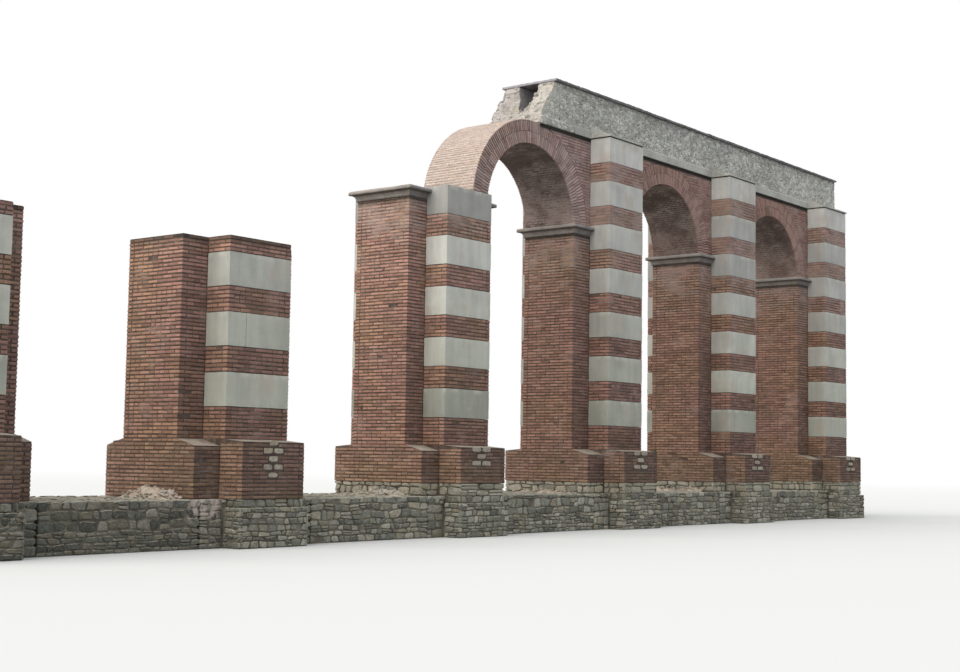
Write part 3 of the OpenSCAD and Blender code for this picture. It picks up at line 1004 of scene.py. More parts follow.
def stone_material(name, colours, moss=(0.16, 0.17, 0.10)):
    """Rubble stone, a tone of its own for each, with lichen and grime."""
    s = Shader(name, 0.92)
    light, hue, pale = s.tone()
    base = s.ramp(light, colours)
    base = s.stained_and_shaded(base, (0.40, 0.34, 0.24), hue, 0.60, 1.0, 0.55)
    base = s.mix(s.both(pale, 0.6), base, (0.52, 0.46, 0.36))
    base = s.mottled(base, s.noise(22, 6, 0.65, tall=1.4), 0.3, 0.7, 0.65, 1.3)
    base = s.stained_and_shaded(base, moss, s.noise(2.3, 5, 0.6, 3.0), 0.52, 0.75, 0.5)
    base = s.stained_and_shaded(base, (0.52, 0.50, 0.44), s.noise(13, 4, 0.6, 9.0), 0.60, 0.72, 0.5)
    base = s.stained_and_shaded(base, (0.44, 0.45, 0.41), s.noise(5.5, 6, 0.7, 14.0), 0.56, 0.70, 0.45)
    base = s.mottled(base, s.axis(0), -14.0, -10.5, 0.58, 1.0)
    # Paler on upward faces: dust, and painted light from above
    return s.finish(limed(s, dust_and_light_on_tops(s, base)), s.noise(38, 6, 0.65))


def bare_core(s, light):
    """The rubble core laid bare: cream mortar round pinkish stones, greyer towards the back."""
    base = s.mix(s.fade(s.noise(2.2, 4, 0.6, 6.0), 0.48, 0.66), (0.55, 0.505, 0.465), (0.60, 0.56, 0.475))
    base = s.stained_and_shaded(base, (0.42, 0.375, 0.345), light, 0.45, 1.0, 0.45)
    base = s.stained_and_shaded(base, (0.48, 0.44, 0.45), s.axis(1), 0.3, 0.8, 0.4)
    return s.mottled(base, s.noise(8, 6, 0.62, 22.0, 1.3), 0.33, 0.60, 0.78, 1.08)


def wall_material(name, pitted=0.55):
    """The channel's side: grey stones in mortar, some joints open, cream where its core is laid bare."""
    s = Shader(name, 0.93)
    light, joint, core = s.tone()
    stone = s.ramp(light, [(0.36, 0.36, 0.335), (0.50, 0.50, 0.47), (0.72, 0.71, 0.66)])
    base = s.stained_and_shaded(stone, (0.52, 0.51, 0.47), joint, 0.35, 0.8, 0.35)
    washed_out = s.both(s.fade(joint, 0.60, 0.90), s.fade(s.noise(6.0, 4, 0.6, 17.0, 2.0), 0.40, 0.52))
    base = s.mix(s.both(washed_out, s.fade(core, 0.0, 0.5, 0.85, 0.0)), base, (0.15, 0.145, 0.13))
    base = s.mottled(base, s.noise(1.1, 5, 0.6, 2.0), 0.35, 0.65, 0.86, 1.10)
    base = s.mix(core, base, bare_core(s, light))
    grain = s.fade(s.noise(24, 6, 0.65, tall=1.2), 0.3, 0.7, 0.72, 1.2)
    base = s.times(base, s.stained_and_shaded(grain, (1.0, 1.0, 1.0), core, 0.0, 1.0, 0.65))
    pits = s.fade(s.noise(12, 5, 0.6, 4.0, 2.2), 0.56, 0.66, 0.0, pitted)
    base = s.mix(s.both(pits, s.fade(core, 0.0, 1.0, 1.0, 0.15)), base, (0.17, 0.165, 0.145))
    base = s.stained_and_shaded(base, (0.80, 0.79, 0.75), s.noise(20, 4, 0.6, 12.0, 1.8), 0.58, 0.66, pitted)
    return s.finish(base, s.noise(36, 6, 0.65))


def clouded(s, dark, light):
    """The cloudy colour of plain stone or mortar."""
    return s.mix(s.fade(s.noise(3.5, 7, 0.62), 0.3, 0.72), dark, light)


def grained(s, base, dark=0.82, light=1.12):
    return s.mottled(base, s.noise(40, 5), 0.3, 0.7, dark, light)


def mortar_material(name, dark, light, stain_and_shade=(0.14, 0.12, 0.10), amount=0.4, dust_and_top_light=False):
    """Lime mortar and render, cloudy, pitted and stained."""
    s = Shader(name, 0.93)
    base = grained(s, clouded(s, dark, light))
    base = s.stained_and_shaded(base, stain_and_shade, s.noise(1.4, 5, 0.6, 5.0, 0.6), 0.5, 0.8, amount)
    if dust_and_top_light:
        # Paler on upward faces: dust, and painted light from above
        base = limed(s, dust_and_light_on_tops(s, base))
    return s.finish(base, s.noise(30, 7, 0.65))


def slab_material():
    """Cover slabs: dark with painted shade along the arcade, paler on top, and paler with painted light on
    the end that faces the light.
    """
    s = Shader("cover_slab", 0.93)
    # Dark base: painted shade along the front and back edges and underneath
    base = clouded(s, (0.13, 0.125, 0.13), (0.24, 0.235, 0.24))
    # Painted light on the end that looks towards the key light
    base = s.stained_and_shaded(base, (0.42, 0.39, 0.42), s.normal(0), -0.3, -0.8)
    patches = s.fade(s.noise(1.8, 6, 0.65, 5.0), 0.35, 0.65)
    base = s.stained_and_shaded(base, s.mix(patches, (0.24, 0.235, 0.23), (0.40, 0.39, 0.38)), s.normal(2), 0.5, 0.9)
    return s.finish(grained(s, base, 0.80, 1.15), s.noise(30, 7, 0.65))


def cornice_material():
    """Imposts: grey-brown, pale with lime along the slab, with painted shade in the groove under it, at the
    foot and on the faces that look along y.
    """
    s = Shader("impost_stone", 0.93)
    z = s.axis(2)
    base = clouded(s, (0.26, 0.230, 0.205), (0.37, 0.330, 0.300))
    bleached = s.both(s.fade(z, LIP_Z + 0.03, LIP_Z + 0.07), s.fade(s.noise(2.0, 5, tall=2), 0.36, 0.56))
    base = s.mix(s.both(bleached, 0.8), base, (0.46, 0.405, 0.38))
    # Painted shade in the groove under the slab and along the foot
    groove_shade = s.both(s.fade(z, LIP_Z - 0.035, LIP_Z - 0.01), s.fade(z, LIP_Z + 0.022, LIP_Z + 0.008))
    foot_shade = s.fade(z, IMPOST_Z + 0.045, IMPOST_Z + 0.01)
    base = s.mix(s.both(s.number(groove_shade, foot_shade, "MAXIMUM"), 0.65), base, (0.055, 0.052, 0.045))
    base = s.stained_and_shaded(base, (0.44, 0.42, 0.38), s.normal(2), 0.4, 0.9, 0.8)
    # Painted shade on the faces that look along y
    return s.finish(shaded_and_grimed(s, grained(s, base), 0.80, 0.80), s.noise(30, 7, 0.65), 0.010, 0.7)


def block_material():
    """Smooth facing stone: bluish up high and greener low down, with faint streaks and bloom at its top."""
    s = Shader("facing_stone", 0.85)
    light, height, _ = s.tone()
    base = s.mix(s.fade(s.axis(2), 3.0, 9.5), (0.455, 0.465, 0.405), (0.520, 0.515, 0.495))
    base = s.mottled(base, light, 0.0, 1.0, 0.80, 1.25)
    base = s.mottled(base, s.noise(0.9, 5, 0.6), 0.35, 0.65, 0.90, 1.07)
    base = s.mottled(base, s.noise(4.0, 5, 0.6, tall=0.10), 0.35, 0.65, 0.93, 1.05)
    base = s.stained_and_shaded(base, (0.53, 0.46, 0.40), s.noise(1.2, 4, 0.6, 8.0), 0.52, 0.70, 0.6)
    bloom = s.both(s.fade(height, 0.78, 0.97), s.fade(s.noise(4, 5, 0.6, 2.0, 0.3), 0.46, 0.6))
    base = s.mix(s.both(bloom, 0.6), base, (0.64, 0.62, 0.55))
    base = s.mottled(base, s.noise(50, 4), 0.3, 0.7, 0.93, 1.05)
    base = s.stained_and_shaded(base, (0.22, 0.215, 0.19), s.noise(6, 6, 0.7, 2.0), 0.66, 0.76, 0.4)
    drips = s.both(s.fade(s.noise(2.2, 6, 0.7, 11.0, 0.25), 0.54, 0.72), s.fade(height, 0.2, 1.0))
    base = s.mix(s.both(drips, 0.28), base, (0.27, 0.26, 0.23))
    return s.finish(base, s.noise(45, 6, 0.6, tall=0.6), 0.003, 0.45)


BRICK = brick_material("brick", (0.440, 0.240, 0.190), (0.420, 0.245, 0.160))
CORE_BRICK = brick_material(
    "arcade_brick", (0.415, 0.230, 0.205), (0.395, 0.215, 0.175), soot=0.2, high=1.0, arcade=True
)
ARCH_BRICK = brick_material(
    "ring_brick", (0.430, 0.285, 0.255), (0.390, 0.245, 0.205), 0.30, 0.2, high=1.0, arcade=True
)
# Darker than the other bricks, as painted shade under the arches
VAULT_BRICK_SHADED = brick_material(
    "vault_brick_shaded", (0.310, 0.205, 0.185), (0.285, 0.185, 0.155), 0.14, 0.3, odd=0.2, crown=0.48, arcade=True
)
BACK_BRICK = brick_material(
    "bleached_brick", (0.510, 0.375, 0.315), (0.490, 0.350, 0.280), 0.16, 0.05, stained_and_shaded=False, odd=0.0
)
JOINT = joint_material("raked_joint", (0.095, 0.066, 0.052), (0.180, 0.132, 0.105))
CORE_JOINT = joint_material("arcade_joint", (0.130, 0.095, 0.080), (0.200, 0.150, 0.125))
VAULT_JOINT = joint_material("vault_joint", (0.130, 0.098, 0.086), (0.180, 0.140, 0.122))
BACK_JOINT = joint_material("flush_joint", (0.560, 0.480, 0.430), (0.760, 0.700, 0.650), False)
BLOCK = block_material()
LEDGE = mortar_material("ledge_mortar", (0.33, 0.27, 0.22), (0.50, 0.44, 0.37))
RUBBLE = stone_material(
    "rubble_stone", [(0.130, 0.130, 0.112), (0.205, 0.21, 0.18), (0.28, 0.28, 0.24), (0.47, 0.45, 0.385)]
)
PATCH_STONE = stone_material("patch_stone", [(0.34, 0.29, 0.24), (0.46, 0.42, 0.35)], (0.27, 0.24, 0.18))
FALLEN_STONE = stone_material(
    "fallen_stone", [(0.36, 0.34, 0.31), (0.50, 0.48, 0.445), (0.68, 0.65, 0.61)], (0.26, 0.26, 0.19)
)
RUBBLE_JOINT = mortar_material("rubble_mortar", (0.088, 0.083, 0.067), (0.275, 0.252, 0.20), dust_and_top_light=True)
DEBRIS = mortar_material("crumbled_mortar", (0.40, 0.325, 0.26), (0.74, 0.62, 0.51), (0.26, 0.23, 0.18), 0.5)
LINING = mortar_material("channel_lining", (0.36, 0.34, 0.35), (0.50, 0.48, 0.49))
CHANNEL_WALL = wall_material("channel_wall")
BAND = wall_material("band_render", 0.25)
SLAB = slab_material()
CORNICE = cornice_material()


# The piers

WALL_TOP_FACE = Face((0, 0, WALL_TOP), X, Z, Y)
BLOCK_BED, BLOCK_GAP = 0.004, 0.003  # the joints over and beside a facing stone
BLOCK_STEP, SLAB_STEP = 0.11, 0.10  # between the points on facing stones and on cover slabs
SMALL_TOP = 0.42  # the stones of the low walls are smaller below this
BLOCK_SPLIT = -0.38  # where the middle block of pier B is split, from the buttress's middle
# How light each facing stone is, from 0 to 1, from the lowest up
BLOCK_TONES = {
    "b": (0.61, 0.52, 0.46),
    "c": (0.27, 0.75, 1.0, 0.9, 0.0),
    "d": (0.4, 0.45, 0.47, 0.6, 0.5, 0.58, 0.9),
}


def seeded(name):
    """A random generator of its own for each piece, the same on every run."""
    return np.random.default_rng(sum((i + 1) * ord(c) for i, c in enumerate(name)))


def masonry(name, node, depth, units, materials):
    """A piece of bricks or stones over the drawn-in mortar of a node, which gets the first material."""
    return piece(name, [(*drawn_in(node, depth), None), *units], materials, (node,))


def rough_box(low, high, step, rng, wear=0.006, bow=0.002):
    """A squared stone: its arrises chipped and its faces a little uneven, all inside the box."""
    low, high = np.array(low), np.array(high)
    size = high - low
    cuts = np.maximum(1, np.round(size / step).astype(int))
    sheets = []
    for axis, end in np.ndindex(3, 2):
        u, v = [i for i in range(3) if i != axis]
        gu, gv = np.meshgrid(np.arange(cuts[u] + 1), np.arange(cuts[v] + 1), indexing="ij")
        cell = np.zeros((gu.size, 3), int)
        cell[:, u], cell[:, v], cell[:, axis] = gu.ravel(), gv.ravel(), end * cuts[axis]
        quads = grid_faces(np.arange(gu.size).reshape(gu.shape))
        sheets.append((cell, quads[:, ::-1] if (end == 1) == (axis == 1) else quads))
    cells, quads = joined(sheets)
    unique, back = np.unique(cells, axis=0, return_inverse=True)
    inward = np.where(unique == 0, 1, 0) - np.where(unique == cuts, 1, 0)
    on_arris = np.abs(inward).sum(1) > 1
    moved = inward * rng.uniform(0.2, 1.0, (len(unique), 1)) * np.where(on_arris, wear, bow)[:, None]
    return low + size * unique / cuts + moved, back.ravel()[quads]


def build_stones(pier):
    """The facing stones of a pier's buttresses. The middle one of pier B is laid as two."""
    rng = seeded("blocks" + pier.key)
    meshes, tones = [], []
    for number, (low, high) in enumerate(pier.blocks):
        chosen = BLOCK_TONES.get(pier.key)
        tone = chosen[number] if chosen else rng.uniform(0.3, 0.9)
        split = [BLOCK_SPLIT] if (pier.key, number) == ("b", 1) else []
        cuts = [-BUTTRESS_HALF, *split, BUTTRESS_HALF]
        for sy in (-1, 1):
            y0, y1 = sorted((sy * CORE_Y, sy * BUTTRESS_Y))
            for a, b in zip(cuts, cuts[1:]):
                x0 = pier.bx + a + (BLOCK_GAP if a > cuts[0] else 0.0)
                x1 = pier.bx + b - (BLOCK_GAP if b < cuts[-1] else 0.0)
                bottom, top = low + BLOCK_BED, high - BLOCK_BED
                points, faces = rough_box((x0, y0, bottom), (x1, y1, top), BLOCK_STEP, rng)
                share = (points[:, 2] - low) / (high - low)
                ones = np.ones(len(points))
                meshes.append((points, faces))
                tones.append(np.stack([ones * (tone + rng.uniform(-0.05, 0.05)), share, 0 * ones, ones], 1))
    parts = [(*joined(meshes), np.concatenate(tones))]
    piece("blocks_" + pier.key, parts, [BLOCK], ("stones_" + pier.key,))


def build_pier(pier):
    """The brickwork of a pier's shaft and of its plinth, with mortar on the ledges."""
    rng = seeded("shaft" + pier.key)
    units = Units(rng)
    lay_shaft(units, pier, rng)
    bricks = make_bricks(units, rng)
    masonry("shaft_bricks_" + pier.key, "shaft_" + pier.key, upright(JOINT_DEPTH), [bricks], [JOINT, BRICK])

    units, patch = Units(rng), Units()
    lay_plinth(units, pier)
    for a, b, z0, z1 in patch_rects(pier):
        for sy in (-1, 1):
            face = front(sy, PLINTH_Y)
            corners = [(a, z0), (b, z0), (b, z1), (a, z1)]
            patch.add(face.at(cut_corners(corners, 0.02, rng)), face.normal, root=0.05)
    stones = make_stones(patch, rng, dome=0.010, sink=0.004)
    name, parts = "plinth_" + pier.key, [make_bricks(units, rng), stones]
    materials = [JOINT, BRICK, PATCH_STONE, LEDGE]
    ob = masonry("plinth_bricks_" + pier.key, name, upright(JOINT_DEPTH), parts, materials)
    for p in ob.data.polygons:
        if p.material_index == 0 and p.normal.z > 0.5:
            p.material_index = materials.index(LEDGE)


def build_footing(pier):
    """Rubble on a footing: its wall, its spread base, its spurs, and the pale stones above the low walls."""
    name = "footing_" + pier.key
    rng = seeded(name)
    units = Units()
    top = span(name, 2)[1]
    rises = top > WALL_TOP + 0.1
    base_half, base_y = BUTTRESS_HALF + BASE_P, PLINTH_Y + BASE_P
    spur = pier.bx - BUTTRESS_HALF, pier.bx + BUTTRESS_HALF

    def lay(face, u0, u1, v0, v1, kind=SMALL, pale=0.0):
        lay_rubble(units, face, u0, u1, v0, v1, kind, rng, pale=pale)

    for sy in (-1, 1):
        for sx in (-1, 1):
            jamb_x, spur_x = pier.x + sx * pier.half, pier.bx + sx * BUTTRESS_HALF
            base_x = pier.bx + sx * base_half
            shoulder = sorted((spur_x, jamb_x))
            lay(front(sy, WALL_Y), *sorted((base_x, jamb_x)), 0.0, WALL_TOP, SQUARED)
            lay(side(sx, base_x), *sorted((sy * WALL_Y, sy * base_y)), 0.0, BASE_TOP)
            lay(side(sx, spur_x), *sorted((sy * WALL_Y, sy * PLINTH_Y)), BASE_TOP, WALL_TOP)
            lay(WALL_TOP_FACE, *shoulder, *sorted((sy * JAMB_Y, sy * WALL_Y)))
            if rises:
                lay(front(sy, JAMB_Y), *shoulder, WALL_TOP, top, SQUARED, 1.0)
                lay(side(sx, spur_x), *sorted((sy * JAMB_Y, sy * PLINTH_Y)), WALL_TOP, top, SQUARED, 1.0)
        lay(front(sy, base_y), pier.bx - base_half, pier.bx + base_half, 0.0, BASE_TOP)
        lay(front(sy, PLINTH_Y), *spur, BASE_TOP, WALL_TOP, SQUARED)
        lay(front(sy, PLINTH_Y), *spur, WALL_TOP, top, DRESSED, 0.7)
    for sx in (-1, 1):
        jamb = side(sx, pier.x + sx * pier.half)
        if (pier.key, sx) in (("a", -1), ("f", 1)):
            lay(jamb, -WALL_Y, WALL_Y, 0.0, WALL_TOP, SQUARED)
        if rises:
            lay(jamb, -JAMB_Y, JAMB_Y, WALL_TOP, top, SQUARED, 1.0)
    depth, materials = upright(RUBBLE_DEPTH, LEDGE_DEPTH), [RUBBLE_JOINT, RUBBLE]
    masonry("footing_rubble_" + pier.key, name, depth, [make_stones(units, rng)], materials)


def build_low_wall(left, right):
    """Rubble on both sides and the top of the wall between two footings, smaller in its foot."""
    name = "low_wall_" + left + right
    rng = seeded(name)
    units = Units()
    u0, u1 = span(name, 0)
    small = (SMALL_TOP, SMALL)
    for sy in (-1, 1):
        lay_rubble(units, front(sy, WALL_Y), u0, u1, 0.0, WALL_TOP, SQUARED, rng, small_below=small)
    lay_rubble(units, WALL_TOP_FACE, u0, u1, -WALL_Y, WALL_Y, PAVED, rng, root=0.04)
    depth, materials = upright(RUBBLE_DEPTH, PAVING_DEPTH), [RUBBLE_JOINT, RUBBLE]
    masonry("low_wall_rubble_" + left + right, name, depth, [make_stones(units, rng)], materials)


for pier in PIERS.values():
    build_pier(pier)
    build_stones(pier)
    build_footing(pier)
for left, right in zip("abcde", "bcdef"):
    build_low_wall(left, right)


# Arches and spandrels

BACK_DEPTH, VAULT_DEPTH = 0.014, 0.009  # how deep the joints of an arch's back and underside are raked


def build_spandrel(key, arches):
    """The brickwork over a pier: its own in the buttresses and the arcade's on the wall between them."""
    rng = seeded("spandrel" + key)
    units, core = Units(rng), Units(rng)
    lay_spandrel(units, core, PIERS[key], arches)
    facing = make_bricks(core, rng)
    parts, materials = [make_bricks(units, rng), facing], [CORE_JOINT, BRICK, CORE_BRICK]
    masonry("spandrel_bricks_" + key, "spandrel_" + key, upright(JOINT_DEPTH), parts, materials)


def arch_side(arch, centre, normal):
    """Which side of an arch a face is on: 0 a flat side, 1 its back, -1 its underside."""
    out = Vector((centre.x - arch.x, 0, centre.z - ARC_Z))
    if abs(normal.y) > 0.5 or out.length < 1e-6:
        return 0
    return 1 if normal.dot(out) > 0 else -1


def arch_depth(arch):
    """How far the faces of an arch's mortar are drawn in, its springing not at all."""
    depths = {0: RING_DEPTH, 1: BACK_DEPTH, -1: VAULT_DEPTH}

    def depth(f):
        centre = f.calc_center_median()
        if abs(f.normal.z) > 0.9995 and centre.z < SPRING_Z + 0.05:
            return 0.0
        return depths[arch_side(arch, centre, f.normal)]

    return depth


def build_arch(key, arch):
    """An arch's rings and underside, and its bare back where there is no brickwork over it."""
    rng = seeded("arch" + key)
    faces, vault = Units(rng), Units(rng)
    back = Units(rng) if key == "cd" else None
    lay_arch(faces, vault, back, arch)
    parts, materials = [make_bricks(faces, rng), make_bricks(vault, rng)], [JOINT, ARCH_BRICK, VAULT_BRICK_SHADED]
    if back is not None:
        parts.append(make_bricks(back, rng, sink=0.004))
        materials.append(BACK_BRICK)
    materials += [VAULT_JOINT, BACK_JOINT]
    ob = masonry("arch_bricks_" + key, "arch_" + key, arch_depth(arch), parts, materials)
    slots = {0: 0, -1: materials.index(VAULT_JOINT), 1: materials.index(BACK_JOINT)}
    for p in ob.data.polygons:
        if p.material_index == 0:
            p.material_index = slots[arch_side(arch, p.center, p.normal)]


for key, arches in (("d", ("cd", "de")), ("e", ("de", "ef")), ("f", ("ef", None))):
    build_spandrel(key, arches)
for key, arch in ARCHES.items():
    build_arch(key, arch)


# The channel

CHANNEL_NODES = ("channel_bed", "channel_front_wall", "channel_back_wall")
STONES_FROM = BED_Z + BAND_RISE + BAND_P
CUT_X = BROKEN_X + 2.0  # the broken end is made rough as far as this
OVERLAP = 0.01  # how far the mortar reaches left of that, and the rough sides twice as far
WALL_STEP = 0.034  # between the points of the rough sides
WALL_RELIEF = 0.030  # how deep they are worn at most
WALL_BACK = 0.035  # how far the mortar lies behind the rough sides
RIM = 0.06  # how far their rims are turned in
WALL_CELLS = Cells(0.165, 0.075, np.random.default_rng(5))
CORE_CELLS = Cells(0.14, 0.13, np.random.default_rng(6))
FILLET = 0.20  # radius of the mortar in the corners of the floor
INNER_EDGE = 1.02  # how far past the arch's middle the inner edge of the back wall starts
LET_IN = 0.03  # how far the walls are let into the bed, so that the three come out as one
END_GRAIN, IMPOST_GRAIN = 0.023, 0.024  # how fine the broken end and the imposts are
BREAK_REACH = 0.22  # how far behind the break the masonry is still affected by it
BITE, CORE_STEP = 0.070, 0.020  # how deep the break is ragged, and how far its stones stand out
END_BULGE = 0.11  # how far the back wall's core bulges out of the break
BEDDED = 45  # rounded stones bedded in the break


def wall_relief(points):
    """How far the channel's rough side is sunk at points on it, and the tone and joint of its stones."""
    wander = roughness(points, 3.0, 2)
    tone, gap = WALL_CELLS.at(points[:, 0] + 0.05 * wander, points[:, 2] + 0.03 * wander)
    joint = 1 - smooth(gap, 0.04, 0.30)
    rough = 0.5 + 0.5 * roughness(points * (0.6, 1, 1.6), 15.0, 2)
    loose = smooth(roughness(points, 1.3, 3), 0.05, 0.6)
    sunk = WALL_RELIEF * np.clip(0.45 * joint * (0.4 + loose) + 0.55 * rough + 0.25 * loose * tone, 0.0, 1.0)
    return sunk, tone, joint


def rough_side(sy, x0, x1, z0, z1):
    """A grid over one side of the channel, sunk into the relief of its rubble, with its rim turned in."""
    xs = np.linspace(x0, x1, round((x1 - x0) / WALL_STEP) + 1)
    zs = np.linspace(z0, z1, round((z1 - z0) / WALL_STEP) + 1)
    xs, zs = np.concatenate([xs[:1], xs, xs[-1:]]), np.concatenate([zs[:1], zs, zs[-1:]])
    gx, gz = np.meshgrid(xs, zs, indexing="ij")
    points = np.stack([gx.ravel(), np.full(gx.size, sy * CORE_Y), gz.ravel()], 1)
    sunk, tone, joint = wall_relief(points)
    rim = np.ones(gx.shape, bool)
    rim[1:-1, 1:-1] = False
    points[:, 1] -= sy * np.where(rim.ravel(), RIM, sunk)
    quads = grid_faces(np.arange(gx.size).reshape(gx.shape))
    tones = np.stack([tone, joint, np.zeros(len(tone)), np.ones(len(tone))], 1)
    return points, quads[:, ::-1] if sy > 0 else quads, tones


def channel_end():
    """The channel's solids left of CUT_X as one mesh, each of them closed."""
    bm = bmesh.new()
    for node in CHANNEL_NODES:
        part = solid_of(node)
        if node != "channel_bed":
            for v in part.verts:
                if v.co.z < FLOOR_Z + 0.001:
                    v.co.z -= LET_IN
        cut_at(part, CUT_X, True)
        bmesh.ops.recalc_face_normals(part, faces=part.faces)
        mesh = bpy.data.meshes.new("part")
        part.to_mesh(mesh)
        part.free()
        bm.from_mesh(mesh)
        bpy.data.meshes.remove(mesh)
    return bm


def remeshed(bm, size):
    """A closed mesh made again from small even quads: its points, their normals and the quads."""
    mesh = bpy.data.meshes.new("remeshed")
    bm.to_mesh(mesh)
    bm.free()
    ob = bpy.data.objects.new("remeshed", mesh)
    bpy.context.scene.collection.objects.link(ob)
    modifier = ob.modifiers.new("voxels", "REMESH")
    modifier.mode, modifier.voxel_size, modifier.adaptivity = "VOXEL", size, 0.0
    result = ob.evaluated_get(bpy.context.evaluated_depsgraph_get()).to_mesh()
    points, normals = np.empty((2, len(result.vertices) * 3))
    result.vertices.foreach_get("co", points)
    result.vertices.foreach_get("normal", normals)
    quads = np.array([p.vertices[:] for p in result.polygons if len(p.vertices) == 4])
    bpy.data.objects.remove(ob)
    bpy.data.meshes.remove(mesh)
    return points.reshape(-1, 3), normals.reshape(-1, 3), quads


def broken_outline(y):
    """The channel's broken outline at y: heights, and where its masonry starts at each of them."""
    starts = {}
    for node in CHANNEL_NODES:
        for v in NODES[node].data.vertices:
            if abs(v.co.y - y) < 0.01 and v.co.x < BROKEN_X + 1.5:
                z = round(v.co.z, 4)
                starts[z] = min(starts.get(z, math.inf), v.co.x)
    return tuple(zip(*sorted(starts.items())))


def make_broken_end():
    """The channel's broken end: ragged rubble core and mortar, its sides as rough as the rest. Gives the
    points, the faces, a tone for each point, and which faces line the inside."""
    points, normals, quads = remeshed(channel_end(), END_GRAIN)
    x, y, z = points.T
    front_x, back_x = (np.interp(z, *broken_outline(at)) for at in (-CORE_Y, CORE_Y))
    across = np.clip((y + CORE_Y) / (2 * CORE_Y), 0, 1)
    start = (1 - across) * front_x + across * back_x
    near = np.exp(-np.maximum(x - start, 0) / BREAK_REACH)
    seen = smooth(CUT_X - x, 0.03, 0.30)
    sunk, tone, joint = wall_relief(points)
    core_tone, core_gap = CORE_CELLS.at(y + 0.04 * roughness(points, 4.0, 2), z)
    outer_side = smooth(np.abs(normals[:, 1]), 0.5, 0.9) * (np.abs(y) > CORE_Y - 0.04)
    facing = smooth(-normals[:, 0], 0.15, 0.6)
    inside = (np.abs(y) < CHANNEL_HALF + 0.03) & (z > FLOOR_Z - 0.02) & (facing < 0.5)
    ragged = 0.5 + 0.5 * roughness(points, 4.0, 4)
    between = smooth(0.35 - core_gap, 0.0, 0.35)
    bitten = facing * (BITE * ragged + CORE_STEP * between) * (z > BED_Z + 0.02)
    points = points - normals * (outer_side * sunk * seen + bitten * seen)[:, None]
    # The back wall is broken off slantwise: its inner edge lies further in than its outer one
    shift = np.clip(BROKEN_X + INNER_EDGE - back_x, 0.0, None)
    slant = shift * smooth(y, -CHANNEL_HALF, CHANNEL_HALF) * smooth(y, CHANNEL_HALF + 0.5, CHANNEL_HALF)
    points[:, 0] += slant * near * smooth(z, FLOOR_Z - 0.16, FLOOR_Z) * smooth(COVER_Z - z, 0.0, 0.4)
    bulge = smooth(z, BED_Z + 0.02, BED_Z + 0.30) * smooth(COVER_Z - z, 0.15, 0.60) * smooth(y, 0.25, 0.75)
    points[:, 0] -= END_BULGE * bulge * near
    # Mortar rounds off the corners of the floor
    corner = np.clip(CHANNEL_HALF - np.abs(y), 0.0, FILLET)
    rise = FILLET - np.sqrt(FILLET**2 - (FILLET - corner) ** 2)
    on_floor = (np.abs(y) < CHANNEL_HALF - 0.012) & (z < FLOOR_Z + 0.14) & (z > FLOOR_Z - 0.03)
    points[:, 2] = np.where(on_floor, np.maximum(points[:, 2], FLOOR_Z + rise), points[:, 2])
    inside &= ~(on_floor & (near > 0.5) & (rise > 0.02))
    points[:, 2] = np.maximum(points[:, 2], BED_Z)
    cream = np.clip(facing + near * (0.75 + 0.5 * roughness(points, 4.0, 3)), 0, 1) * (1 - inside)
    core = facing > 0.5
    joint = np.where(core, 1 - smooth(core_gap, 0.04, 0.3), joint)
    tones = np.stack([np.where(core, core_tone, tone), joint, cream, np.ones(len(points))], 1)
    return points, quads, tones, inside[quads].mean(1) > 0.5


def lumps(centres, sizes, tones):
    """Lumpy stones of some sizes round some centres."""
    bm = bmesh.new()
    bmesh.ops.create_icosphere(bm, subdivisions=2, radius=1.0)
    ball, faces = taken(bm)
    stones = []
    for i, (centre, size) in enumerate(zip(centres, sizes)):
        swell = 1 + 0.16 * roughness(ball + 9.0 * i, 1.3, 2)
        stones.append((ball * swell[:, None] * size + centre, faces))
    return (*joined(stones), np.repeat(tones, len(ball), 0))


def round_stones(points, quads, count, rng):
    """Rounded stones bedded in the broken face."""
    a, b, c = (points[quads[:, i]] for i in (0, 1, 2))
    normal = unit(np.cross(b - a, c - b))
    fit = np.flatnonzero((normal[:, 0] < -0.55) & (a[:, 0] > BROKEN_X + 0.1))
    chosen = rng.choice(fit, count, replace=False)
    sizes = rng.uniform(0.035, 0.085, (count, 1)) * rng.uniform(0.7, 1.2, (count, 3))
    centres = points[quads[chosen]].mean(1) - normal[chosen] * sizes.min(1)[:, None] * 0.35
    tones = np.stack([rng.random(count), np.zeros(count), rng.uniform(0.2, 0.7, count), np.ones(count)], 1)
    return lumps(centres, sizes, tones)


def channel_depth(f):
    """How far a face of the channel's solids is drawn in behind its rough sides."""
    from_middle = abs(f.calc_center_median().y)
    return WALL_BACK if abs(f.normal.y) > 0.9 and CHANNEL_HALF + 0.01 < from_middle < CORE_Y + 0.005 else 0.0


